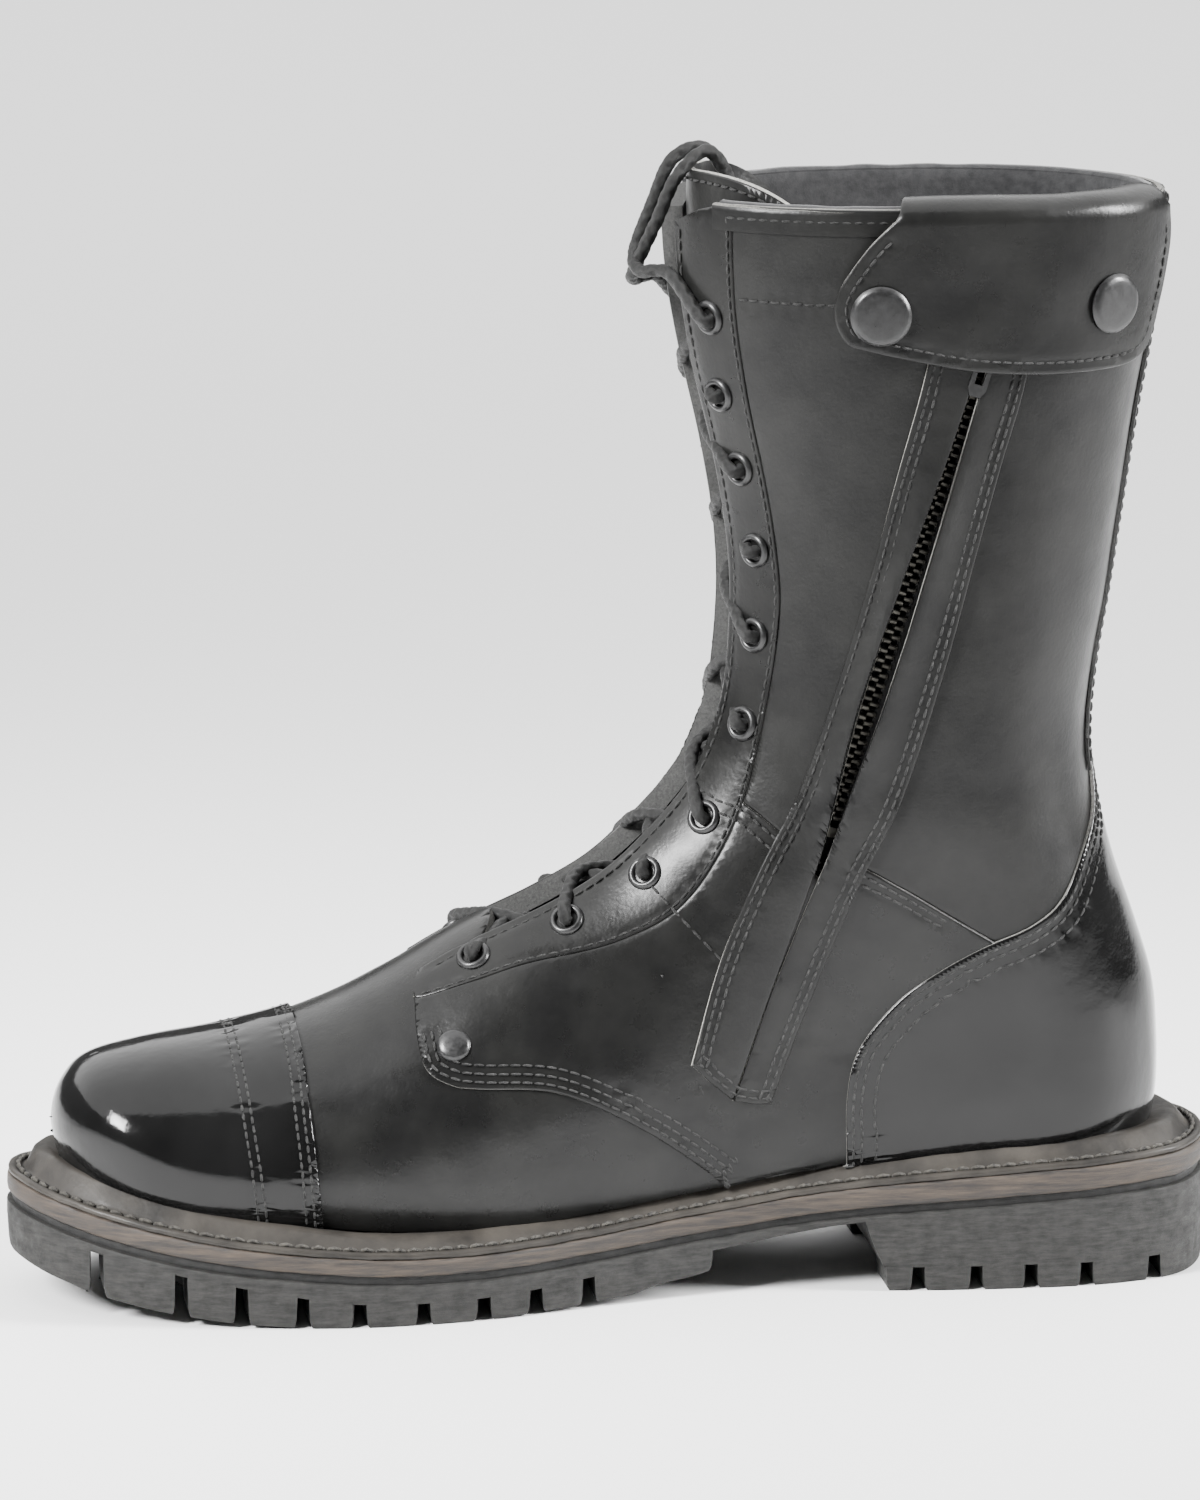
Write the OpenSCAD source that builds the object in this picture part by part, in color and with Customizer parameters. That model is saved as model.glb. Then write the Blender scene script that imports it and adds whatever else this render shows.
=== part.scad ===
// Side-zip lace-up work boot, right foot: toe towards -X, medial side towards -Y, sole on z = 0.
// The upper is one surface: a half-width for every side-view place (x, z), rounded off
// towards the front and the back profile. Every leather, foam and lining piece is a skin between
// two offsets from that surface, cut to a side-view outline.

/* [Boot] */
// Length of the sole, toe to heel
sole_length = 314; // [300:1:328]
// Height of the leather collar above the floor
collar_height = 282; // [270:1:290]
// Width of the sole at the ball
ball_width = 112; // [106:1:118]

/* [Leather] */
// Thickness of the main leather
leather = 1.8; // [1.4:0.1:2]
// Thickness of the overlays sewn on top
overlay = 1.2; // [0.8:0.1:1.4]
// Thickness of the inner lining
lining_t = 1.2; // [0.8:0.1:1.4]

/* [Fittings] */
// Outer diameter of an eyelet flange
eyelet_d = 9; // [8:0.1:10]
// Bore of an eyelet
eyelet_bore = 5.4; // [4.6:0.1:5.6]
// Diameter of the lace
lace_d = 3.5; // [2.5:0.1:4]
// Diameter of a snap cap
snap_d = 15.4; // [13:0.1:16]
// Pitch of the zip teeth
tooth_pitch = 2.6; // [2:0.1:4]

/* [Sole] */
// Depth of the tread grooves
tread_depth = 6.5; // [3:0.1:8]
// Width of a tread groove
groove_w = 3.6; // [2:0.1:5]

/* [Hidden] */

sx = sole_length / 314;
sz = collar_height / 282;
sy = ball_width / 112;
eps = 0.02;

// ---- curves ---------------------------------------------------------------------------------
function catmull(a, b, c, d, t) =
    0.5 * (2*b + (c - a)*t + (2*a - 5*b + 4*c - d)*t*t + (3*b - a - 3*c + d)*t*t*t);
function smooth(P, n) = let (m = len(P)) [
    for (i = [0:m-2], k = [0:n-1])
        let (a = i > 0 ? P[i-1] : 2*P[0] - P[1], d = i < m-2 ? P[i+2] : 2*P[m-1] - P[m-2])
            catmull(a, P[i], P[i+1], d, k/n),
    P[m-1]];
function smooth_loop(P, n) = let (m = len(P)) [
    for (i = [0:m-1], k = [0:n-1])
        catmull(P[(i+m-1)%m], P[i], P[(i+1)%m], P[(i+2)%m], k/n)];
function sized(P) = [for (p = P) [p[0]*sx, p[1]*sz, for (k = [2:1:len(p)-1]) p[k]]];
function clamp(v) = max(0, min(1, v));
function ease(t) = let (c = clamp(t)) c*c*(3 - 2*c);

// ---- the upper's surface --------------------------------------------------------------------
STEPS = 4;
// Front and top profile: x, z, and how far the side rounds off from it
FRONT = smooth(sized([
    [-143, 37.5, 40], [-144.3, 46, 40], [-141.8, 54.5, 39], [-135, 61, 38], [-120, 64.7, 37],
    [-100, 67.5, 38], [-80, 72, 42], [-60, 80.5, 48], [-40, 92, 54], [-20, 101.5, 60],
    [-3, 112, 64], [10, 124.5, 66], [18.5, 136, 66], [24.5, 152, 64], [27, 170, 60],
    [27, 190, 58], [23, 216, 58], [17.5, 240, 60], [14, 262, 62], [13, 290, 64]]), STEPS);
// Back profile of the heel and the shaft
BACK = smooth(sized([
    [142, 39, 34], [143, 48, 34], [142.8, 60, 34], [141.3, 75, 35], [136.5, 91, 37],
    [130.5, 108, 39], [126, 126, 41], [124.5, 142, 43], [126, 160, 46], [129, 178, 48],
    [132.5, 202, 50], [136, 225, 53], [140, 248, 56], [142.5, 270, 59], [143.5, 290, 62]]), STEPS);
// Edge where the upper meets the welt
FEATHER = smooth(sized([
    [-145, 37], [-120, 30.5], [-95, 25.5], [-60, 21.5], [-20, 22], [20, 26.5], [60, 32],
    [100, 36], [145, 38.5]]), STEPS);
// Half-widths of the foot along x, and of the shaft along z
WIDE_MEDIAL = smooth([
    for (p = [[-145, 36], [-120, 38.5], [-95, 42], [-60, 45.5], [-35, 44], [-10, 39], [15, 33.5],
        [40, 30], [65, 29.5], [90, 31], [115, 32], [145, 32]]) [p[0]*sx, p[1]*sy]], STEPS);
WIDE_LATERAL = smooth([
    for (p = [[-145, 36], [-120, 38.5], [-95, 42], [-60, 46.5], [-35, 48.5], [-10, 47], [15, 42.5],
        [40, 37.5], [65, 34.5], [90, 33.5], [115, 33], [145, 32]]) [p[0]*sx, p[1]*sy]], STEPS);
WIDE_SHAFT = smooth([
    for (p = [[60, 34], [100, 36.5], [130, 39], [160, 40.3], [200, 41.3], [240, 44], [290, 48.5]])
        [p[0]*sz, p[1]*sy]], STEPS);

function near_part(p, a, b) =
    let (dx = b.x - a.x, dz = b.y - a.y,
        t = clamp(((p.x - a.x)*dx + (p.y - a.y)*dz) / (dx*dx + dz*dz)))
        [norm([p.x - a.x - t*dx, p.y - a.y - t*dz]), a.z + t*(b.z - a.z)];
function near(p, C) =
    let (D = [for (i = [0:len(C)-2]) near_part(p, C[i], C[i+1])], least = min([for (e = D) e[0]]))
        [for (e = D) if (e[0] == least) e][0];
function round_off(t) = let (c = clamp(t)) sqrt(1 - pow(1 - c, 2.2));
function feather(x) = lookup(x, FEATHER);
// The toe leans towards the big toe
function lean(x) = -6*sy*ease((-50 - x/sx)/95);
function half_width(x, z, side) =
    let (foot = lookup(x, side < 0 ? WIDE_MEDIAL : WIDE_LATERAL), shaft = lookup(z, WIDE_SHAFT),
        k = ease((z/sz - 45)/75), f = near([x, z], FRONT), b = near([x, z], BACK),
        tuck = 1 - 0.07*pow(clamp(1 - (z - feather(x))/14), 2))
        (foot*(1 - k) + shaft*k) * round_off(f[0]/f[1]) * round_off(b[0]/b[1]) * tuck;
function on_side(x, z, side) = [x, lean(x) + side*half_width(x, z, side), z];
function facing_out(x, z, side) =
    let (h = 1, wx = (half_width(x+h, z, side) - half_width(x-h, z, side)) / (2*h),
        wz = (half_width(x, z+h, side) - half_width(x, z-h, side)) / (2*h), n = [-wx, side, -wz])
        n / norm(n);

// Each row runs on a chord from the front profile to the feather edge or the back profile.
// The pair gives how many control points along each of them the chord starts and ends.
ROWS = [
    [0.35, 0.08], [1, 0.35], [1.6, 0.55], [2.3, 0.8], [3.1, 1.05], [4, 1.45], [5, 2], [6, 2.6],
    [7, 3.15], [8, 3.75], [8.7, 4.2], [9.4, 4.65], [10.1, 5.3], [10.8, 6.1], [11.4, 7],
    [12, 8], [12.4, 9], [12.7, 10.2], [13, 11.6], [13.4, 13], [13.8, 14.4], [14.4, 16.2],
    [15, 18], [16, 19.55], [17, 20.65], [18, 21.65], [19, 23]];
BACK_START = 9;
BASE = concat([for (x = [-143, -120, -95, -60, -20, 20, 60, 100, 130, 142]) [x*sx, feather(x*sx)]],
    [for (i = [1:14]) [BACK[i*STEPS].x, BACK[i*STEPS].y]]);
function along(C, s) = let (i = min(floor(s), len(C)-2)) C[i] + (s - i)*(C[i+1] - C[i]);
function front_at(s) = let (q = along(FRONT, s*STEPS)) [q.x, q.y];
function base_at(s) = s <= BACK_START ? along(BASE, s)
    : let (q = along(BACK, (s - BACK_START)*STEPS)) [q.x, q.y];
// Columns go round from the lateral back, over the front ridge, to the medial back
TURN = [0, 15, 31, 48, 66, 84, 102, 120, 138, 154, 168, 179];
RIDGE = len(TURN) - 1;
COLS = 2*RIDGE;
GRID = [for (r = ROWS) let (a = front_at(r[0]), b = base_at(r[1]))
    [for (j = [0:COLS]) let (side = j < RIDGE ? 1 : -1, t = (1 - cos(TURN[abs(j - RIDGE)]))/2,
        q = a + t*(b - a)) on_side(q.x, q.y, side)]];
LAST = len(ROWS) - 1;
// First row that ends on the back profile, where both sides meet
HEEL_ROW = 16;
NORMAL = [for (i = [0:LAST]) [for (j = [0:COLS])
    let (u = GRID[min(i+1, LAST)][j] - GRID[max(i-1, 0)][j],
        v = GRID[i][min(j+1, COLS)] - GRID[i][max(j-1, 0)], c = cross(v, u),
        at_back = i >= HEEL_ROW && (j == 0 || j == COLS), n = at_back ? [c.x, 0, c.z] : c)
        n / norm(n)]];
FULL = [for (j = [0:COLS]) j];
ALL_ROWS = [for (i = [0:LAST]) i];

// Closed solid between offsets a (inner) and b (outer); a and b may be one number or one per column.
// From row seam on, the last column joins the first one at the back of the boot.
function per_col(o, k) = is_list(o) ? o[k] : o;
module skin(a, b, cols = FULL, rows = ALL_ROWS, seam = LAST) {
    nc = len(cols);
    nr = len(rows);
    half = nc*nr;
    pts = [for (o = [b, a]) for (i = rows) for (k = [0:nc-1])
        GRID[i][cols[k]] + per_col(o, k)*NORMAL[i][cols[k]]];
    // Pairs of neighbouring points along each row
    function pairs(i) = concat([for (k = [0:nc-2]) [i*nc + k, i*nc + k + 1]],
        i >= seam && seam < LAST ? [[i*nc + nc - 1, i*nc]] : []);
    apart = min(seam, nr - 1);
    faces = [
        for (i = [0:nr-2]) for (e = pairs(i)) let (p = e[0], q = e[1])
            each [[p, p+nc, q], [q, p+nc, q+nc],
                [half+p, half+q, half+p+nc], [half+q, half+q+nc, half+p+nc]],
        for (e = pairs(0)) let (p = e[0], q = e[1]) each [[p, q, half+p], [q, half+q, half+p]],
        for (e = pairs(nr-1)) let (p = e[0], q = e[1]) each [[p, half+p, q], [q, half+p, half+q]],
        if (seam < nr-1) let (p = seam*nc + nc - 1, q = seam*nc)
            each [[p, q, half+p], [q, half+q, half+p]],
        for (i = [0:apart-1]) let (p = i*nc) each [[p, half+p, p+nc], [p+nc, half+p, half+p+nc]],
        for (i = [0:apart-1]) let (p = i*nc + nc-1)
            each [[p, p+nc, half+p], [p+nc, half+p+nc, half+p]]];
    polyhedron(pts, faces);
}
module closed_skin(a, b) { skin(a, b, seam = HEEL_ROW); }
// Prism across the boot from a side-view outline; side is -1 medial, 1 lateral, 0 both
module across(side, near_y = 0) {
    lo = side == 1 ? near_y : -90;
    hi = side == -1 ? -near_y : 90;
    translate([0, hi, 0]) rotate([90, 0, 0]) linear_extrude(hi - lo) children();
}
// Sheet pieces are cut in one go, so that each stays one clean mesh
module cut_piece() {
    resize([0, 0, 0]) intersection() {
        children(0);
        children(1);
    }
}

// ---- side-view outlines ---------------------------------------------------------------------
FAR = 200;
SEAM_GAP = 0.15;
// Rear edge of the lace facing, from the throat to the collar
EYESTAY = smooth(sized([[-53, 78], [-49, 78.5], [-26, 86], [0, 92.5], [18, 104], [32, 130],
    [40, 170], [39, 196], [31, 237], [28, 258], [27, 300]]), 3);
// Seam between the foot part and the shaft
FLEX_SEAM = smooth(sized([[14, 134], [22, 131], [32, 127], [45, 117], [58, 113], [71, 106],
    [84, 98], [97, 90], [130, 70], [150, 60]]), 2);
// Front and lower edge of the quarter, and the vamp's hidden rear edge under it
QUARTER = smooth(sized([[-51, 60], [-38, 58], [-18, 56], [4, 45], [23, 31], [27, 20]]), 2);
VAMP_END = smooth(sized([[-46, 120], [-42, 92], [-30, 72], [-10, 58], [14, 48], [32, 36],
    [38, 18]]), 2);
COUNTER = smooth(sized([[160, 138], [126, 138], [124, 123], [119, 112], [113, 101], [105, 95],
    [93, 90], [82, 84], [71, 76], [61, 63], [58, 49], [58.5, 20]]), 2);
// Half-width and height of the backstay, seen from behind
BACKSTAY = smooth([for (p = [[9.5, 300], [9, 240], [8.5, 190], [9, 160], [12, 140], [19, 118],
    [21, 100]]) [p[0]*sy, p[1]*sz]], 2);
STIFFENER = smooth(sized([[80, 20], [82, 50], [92, 76], [112, 92], [150, 100]]), 2);
FLAP = smooth_loop(sized([[66, 280], [59, 272], [52.5, 260], [54.5, 250], [62, 246.5], [88, 241],
    [115, 240], [128, 243], [133, 256], [135.5, 270], [135, 280], [118, 281.4], [90, 281.4]]), 2);
GUARD_FRONT = smooth(sized([[80, 300], [74, 237], [68, 213], [62, 187], [54, 158], [45, 131],
    [35, 111], [25, 88], [17, 61]]), 2);
GUARD_REAR = smooth(sized([[38, 50], [48, 77], [60, 108], [70, 129], [80, 161], [88, 192],
    [94, 215], [100, 237], [106, 300]]), 2);
CAP_EDGE = sized([[-82.5, 90], [-81, 58], [-80.5, 40], [-78, 10]]);

// Straight line of the zip: top and bottom ends, its slit, and the seam below it
ZIP_TOP = [97*sx, 268*sz];
ZIP_END = [51.1*sx, 115*sz];
zip_lean = (ZIP_TOP.x - ZIP_END.x) / (ZIP_TOP.y - ZIP_END.y);
function zip_x(z) = ZIP_END.x + (z - ZIP_END.y)*zip_lean;
module slot(w) {
    top = 300*sz;
    polygon([[zip_x(top) - w/2, top], [zip_x(top) + w/2, top],
        [ZIP_END.x + w/2, ZIP_END.y], [ZIP_END.x, ZIP_END.y - w/2], [ZIP_END.x - w/2, ZIP_END.y]]);
}
slot_w = 15;
slit_w = 5.4;

module above_welt() {
    polygon(concat([for (p = FEATHER) [p.x, p.y + 0.3]], [[FAR, 45], [FAR, 400], [-FAR, 400],
        [-FAR, 45]]));
}
module below(z) { translate([-FAR, -FAR]) square([2*FAR, FAR + z]); }
module front_of_eyestay(gap = 0) {
    polygon(concat([for (p = EYESTAY) [p.x - gap, p.y + gap]], [[-40, 310], [-40, 160], [-90, 115],
        [-53*sx - gap, 100*sz]]));
}
module foot_part(gap = 0) {
    polygon(concat([for (p = FLEX_SEAM) [p.x, p.y - gap]], [[FAR, -10], [-FAR, -10],
        [-FAR, 134*sz]]));
}
module behind_quarter_edge() {
    polygon(concat([[-51*sx, 110*sz]], QUARTER, [[FAR, 0], [FAR, 200]]));
}
module vamp_zone(gap = 0) {
    polygon(concat([for (p = VAMP_END) [p.x + gap, p.y]], [[-FAR, 0], [-FAR, 130]]));
}
module counter_zone() { polygon(concat(COUNTER, [[170, 20]])); }
module stiffener_zone(gap = 0) {
    polygon(concat([for (p = STIFFENER) [p.x - gap, p.y + gap]], [[170, 20]]));
}
module behind_slot() {
    polygon([[zip_x(300*sz), 300*sz], [zip_x(100*sz), 100*sz], [zip_x(100*sz), 20],
        [FAR, 20], [FAR, 300*sz]]);
}
// Distance from the middle to the front edge of each facing
facing_y = 12;

// ---- sole -----------------------------------------------------------------------------------
SOLE = smooth_loop([for (p = [
    [157, 0], [154, -16], [145, -29], [128, -36], [110, -38], [85, -37.5], [60, -35], [40, -33.5],
    [15, -36], [-10, -43], [-35, -51], [-60, -55], [-85, -54], [-110, -49], [-132, -39],
    [-148, -25], [-156, -8], [-154, 9], [-144, 24], [-125, 38], [-100, 47.5], [-70, 53.5],
    [-35, 56], [-5, 53], [25, 45.5], [50, 42], [75, 40], [100, 40], [125, 38], [144, 30],
    [154, 16]]) [p[0]*sx, p[1]*sy]], 2);
// Heights along x: ground side, top of the rubber, top of the midsole
GROUND = smooth(sized([[-158, 12.5], [-145, 8.5], [-128, 4.5], [-105, 1.5], [-80, 0], [-50, 0],
    [-20, 0.6], [0, 2], [8, 4], [20, 6]]), 2);
WAIST = smooth(sized([[-158, 19], [-130, 12.4], [-100, 8.6], [-60, 7.2], [-20, 8.2], [5, 10],
    [30, 13], [60, 18], [90, 18.8], [158, 20.5]]), 2);
RUBBER = smooth(sized([[-158, 27], [-130, 20.5], [-100, 16], [-60, 13], [-20, 13.6], [20, 17],
    [60, 21.8], [100, 24.5], [158, 27.5]]), 2);
MIDSOLE = smooth(sized([[-158, 32], [-130, 25.6], [-100, 20.6], [-60, 17.4], [-20, 18], [20, 21.8],
    [60, 27.2], [100, 30.5], [158, 33.6]]), 2);

module plate(low, high) {
    profile = concat(low, [for (i = [len(high)-1:-1:0]) high[i]]);
    rotate([90, 0, 0]) linear_extrude(140, center = true) polygon(profile);
}
module sole_plate(low, high, inset = 0) {
    intersection() {
        plate(low, high);
        linear_extrude(60) offset_outline(inset);
    }
}
// The sole outline moved inwards, point by point
module offset_outline(inset) {
    m = len(SOLE);
    polygon([for (i = [0:m-1]) let (t = SOLE[(i+1)%m] - SOLE[(i+m-1)%m])
        SOLE[i] + inset*[t.y, -t.x]/norm(t)]);
}
// The upper's own outline on the welt, moved inwards
function upper_edge(inset) = let (xs = [for (x = [-139:12:125]) x*sx, 133*sx, 138*sx], far = 142*sx - inset) [
    for (x = xs) [x + (x < -130 ? inset*0.6 : 0), lean(x) - half_width(x, feather(x), -1) + inset],
    [far, -4], [far, 4],
    for (i = [len(xs)-1:-1:0]) let (x = xs[i])
        [x + (x < -130 ? inset*0.6 : 0), lean(x) + half_width(x, feather(x), 1) - inset]];

FORE_GROOVES = [-135.5, -115, -100, -84.7, -70.3, -54, -38.3, -24.5, -10.4];
HEEL_GROOVES = [76, 91, 105.3, 120, 138.7];
tread_bar = 17;
// A groove from one edge of the tread, narrowing inwards
module edge_groove(x, y, depth, z = 0) {
    translate([x, y, z - 1]) linear_extrude(depth + 1) polygon([[-groove_w/2, -30], [groove_w/2, -30],
        [groove_w/2, tread_bar - 1], [0, tread_bar], [-groove_w/2, tread_bar - 1]]);
}
function sole_edge(x, side) =
    let (c = [for (p = SOLE) if (side*p.y > 0 && abs(p.x - x) < 14) p],
        least = min([for (p = c) abs(p.x - x)])) [for (p = c) if (abs(p.x - x) == least) p.y][0];
module tread(grooves) {
    for (x = grooves) let (lo = lookup(x*sx, GROUND)) {
        edge_groove(x*sx, sole_edge(x*sx, -1), tread_depth, lo);
        mirror([0, 1, 0]) edge_groove(x*sx, -sole_edge(x*sx, 1), tread_depth, lo);
    }
}
module outsole() {
    color("#2b2b2c") difference() {
        union() {
            sole_plate(WAIST, [for (p = RUBBER) [p.x, p.y - 2.2]]);
            intersection() {
                sole_plate(GROUND, WAIST);
                translate([-FAR, -80, 0]) cube([FAR - 1*sx, 160, 60]);
            }
            sole_plate([for (p = RUBBER) [p.x, p.y - 2.2]], RUBBER, 1.3);
        }
        tread(FORE_GROOVES);
        for (x = [-122, -100, -78, -56, -34]) translate([x*sx, 0, -1])
            linear_extrude(lookup(x*sx, GROUND) + tread_depth + 1)
                polygon([[-7, -20], [0, -16], [7, -20], [4, 0], [7, 20], [0, 16], [-7, 20], [-4, 0]]);
    }
}
module heel_block() {
    breast = 62*sx;
    color("#2b2b2c") difference() {
        intersection() {
            linear_extrude(30) offset_outline(0);
            rotate([90, 0, 0]) linear_extrude(140, center = true) polygon(concat(
                [[breast + 7, 0], [152*sx, 0], [157.5*sx, 3]],
                [for (i = [len(WAIST)-1:-1:0]) if (WAIST[i].x > breast - 6) WAIST[i]]));
        }
        tread(HEEL_GROOVES);
        for (x = [88, 112, 136]) translate([x*sx, 0, -1]) linear_extrude(tread_depth + 1)
            polygon([[-6, -14], [0, -11], [6, -14], [3, 0], [6, 14], [0, 11], [-6, 14], [-3, 0]]);
    }
}
module midsole() { color("#4a3a2e") sole_plate(RUBBER, MIDSOLE, 0.3); }
module feather_plate(from, top) {
    rotate([90, 0, 0]) linear_extrude(140, center = true)
        polygon(concat(from, [for (i = [len(FEATHER)-1:-1:0]) [FEATHER[i].x, FEATHER[i].y + top]],
            [[-159*sx, (FEATHER[0].y + top)]]));
}
module welt() {
    color("#33302d") intersection() {
        difference() {
            linear_extrude(60) offset_outline(0.8);
            linear_extrude(60) polygon(upper_edge(8));
        }
        rotate([90, 0, 0]) linear_extrude(140, center = true) polygon(concat(MIDSOLE,
            [[158*sx, 38.4*sz]], [for (i = [len(FEATHER)-1:-1:0]) FEATHER[i] - [0, 0.4]],
            [[-158*sx, 38.2*sz]]));
    }
}
board_t = 2.2;
module cork_filler() {
    color("#a07a50") difference() {
        intersection() {
            linear_extrude(60) polygon(upper_edge(8.2));
            feather_plate([for (p = MIDSOLE) if (abs(p.x) < 150*sx) p], -board_t);
        }
        shank_shape(0.1);
    }
}
module insole_board() {
    color("#8a6a48") intersection() {
        linear_extrude(60) polygon(upper_edge(8.2));
        feather_plate([for (p = FEATHER) [p.x, p.y - board_t]], 0);
    }
}
shank_w = 15;
module shank_shape(gap) {
    rotate([90, 0, 0]) linear_extrude(shank_w + 2*gap, center = true) polygon([
        for (x = [-5:15:100]) [x*sx, lookup(x*sx, MIDSOLE) + 0.8 - gap],
        for (x = [100:-15:-5]) [x*sx, lookup(x*sx, MIDSOLE) + 2 + gap]]);
}
module shank() { color("#9a9da0") shank_shape(0); }
footbed_t = 4;
module footbed() {
    color("#3c3c3e") intersection() {
        linear_extrude(60) polygon(upper_edge(12.2));
        feather_plate([for (p = FEATHER) [p.x, p.y + 0.02]], footbed_t);
    }
}

// ---- layers of the upper --------------------------------------------------------------------
outer = 0;
inner_leather = -leather;
vamp_in = inner_leather - 1.6;
foam_in = vamp_in - 1.2;
lining_in = foam_in - lining_t;
collar_z = 258*sz;

module trimmed_upper(side, near_y = 0) {
    across(side, near_y) intersection() {
        above_welt();
        below(collar_height);
        children();
    }
}
module vamp() {
    color("#1d1d1e") cut_piece() {
        difference() {
            skin(vamp_in, inner_leather);
            facing_cut();
        }
        trimmed_upper(0) vamp_zone();
    }
}
// Room for both facings
module facing_cut() {
    for (side = [-1, 1]) across(side, facing_y - 0.2) front_of_eyestay(-0.2);
}
module vamp_lining() {
    color("#5a5a55") cut_piece() {
        difference() {
            skin(foam_in, vamp_in);
            facing_cut();
        }
        trimmed_upper(0) difference() {
            vamp_zone();
            translate([-FAR, 0]) square([FAR - 86*sx, 200]);
        }
    }
}
module toe_puff() {
    color("#b9a98a") cut_piece() {
        skin(foam_in, vamp_in);
        trimmed_upper(0) translate([-FAR, 0]) square([FAR - 86.3*sx, 200]);
    }
}
module toe_cap() {
    color("#141415") cut_piece() {
        skin(inner_leather, outer);
        trimmed_upper(0) polygon(concat(CAP_EDGE, [[-FAR, 10], [-FAR, 90]]));
    }
}
module heel_stiffener() {
    color("#b9a98a") cut_piece() {
        closed_skin(foam_in, inner_leather);
        trimmed_upper(0) stiffener_zone();
    }
}
module zip_opening() {
    across(-1, 10) slot(slot_w);
}
module interlining() {
    color("#77756c") cut_piece() {
        difference() {
            closed_skin(foam_in, inner_leather);
            zip_opening();
        }
        trimmed_upper(0) difference() {
            below(collar_z - 0.2);
            vamp_zone(0.3);
            stiffener_zone(0.3);
            front_of_eyestay(-0.2);
        }
    }
}
module collar_padding() {
    color("#77756c") cut_piece() {
        difference() {
            closed_skin(foam_in, inner_leather);
            zip_opening();
        }
        trimmed_upper(0) difference() {
            translate([-FAR, collar_z]) square([2*FAR, 60]);
            front_of_eyestay(-0.2);
        }
    }
}
module lining() {
    color("#2a2b2d") cut_piece() {
        difference() {
            closed_skin(lining_in, foam_in);
            zip_opening();
        }
        across(0) difference() {
            intersection() {
                above_welt();
                below(collar_height);
            }
            front_of_eyestay(-0.2);
        }
    }
}
// The tongue is thin and lies under the facings, and rises a little in the lace gap
tongue_low = lining_in - 5.6;
tongue_high = lining_in - 0.6;
TONGUE_COLS = [RIDGE-3, RIDGE-2, RIDGE-1, RIDGE, RIDGE+1, RIDGE+2, RIDGE+3];
TONGUE_OUT = [tongue_low, tongue_low, tongue_high - 2.6, tongue_high, tongue_high - 2.6, tongue_low,
    tongue_low];
module tongue() {
    color("#19191a") cut_piece() {
        skin([for (o = TONGUE_OUT) o - 2], TONGUE_OUT, TONGUE_COLS, [for (i = [8:LAST]) i]);
        across(0) difference() {
            below(288*sz);
            translate([-FAR, 0]) square([FAR - 50*sx, 300]);
        }
    }
}
module facing(side) {
    cut_piece() {
        difference() {
            skin(lining_in, outer);
            for (e = EYELETS) at_surface(e, side)
                cylinder(h = 30, r = barrel_r + 0.15, center = true, $fn = 12);
        }
        trimmed_upper(side, facing_y) front_of_eyestay(SEAM_GAP);
    }
}
module facing_medial() { color("#1b1b1c") facing(-1); }
module facing_lateral() { color("#1b1b1c") facing(1); }
module quarter(side) {
    cut_piece() {
        skin(inner_leather, outer);
        trimmed_upper(side) difference() {
            intersection() {
                foot_part(SEAM_GAP);
                behind_quarter_edge();
            }
            front_of_eyestay();
            if (side < 0) slot(slot_w);
        }
    }
}
module quarter_medial() { color("#1e1e1f") quarter(-1); }
module quarter_lateral() { color("#1e1e1f") quarter(1); }
module shaft_medial_front() {
    color("#202021") cut_piece() {
        skin(inner_leather, outer);
        trimmed_upper(-1) difference() {
            translate([-FAR, 0]) square([2*FAR, 300]);
            foot_part();
            front_of_eyestay();
            behind_slot();
            slot(slot_w);
        }
    }
}
module shaft_medial_rear() {
    color("#202021") cut_piece() {
        skin(inner_leather, outer);
        trimmed_upper(-1) difference() {
            behind_slot();
            foot_part();
            slot(slot_w);
        }
    }
}
module shaft_lateral() {
    color("#202021") cut_piece() {
        skin(inner_leather, outer);
        trimmed_upper(1) difference() {
            translate([-FAR, 0]) square([2*FAR, 300]);
            foot_part();
            front_of_eyestay();
        }
    }
}
module heel_counter_cover() {
    color("#121213") cut_piece() {
        closed_skin(eps, overlay);
        trimmed_upper(0) counter_zone();
    }
}
module backstay() {
    color("#1a1a1b") cut_piece() {
        intersection() {
            closed_skin(eps, overlay);
            translate([100, 0, 0]) rotate([90, 0, 90]) linear_extrude(60)
                polygon(concat(BACKSTAY, [for (i = [len(BACKSTAY)-1:-1:0]) [-BACKSTAY[i].x, BACKSTAY[i].y]]));
        }
        trimmed_upper(0) difference() {
            translate([100, 100]) square(200);
            counter_zone();
        }
    }
}

// ---- eyelets, rivets and lace ---------------------------------------------------------------
EYELETS = sized([[23, 252], [26, 232], [31, 213], [35, 192], [35, 170], [32, 147], [22, 123],
    [7, 108.5], [-13, 96.5], [-37, 87.5]]);
barrel_r = eyelet_bore/2 + 0.35;
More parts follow.
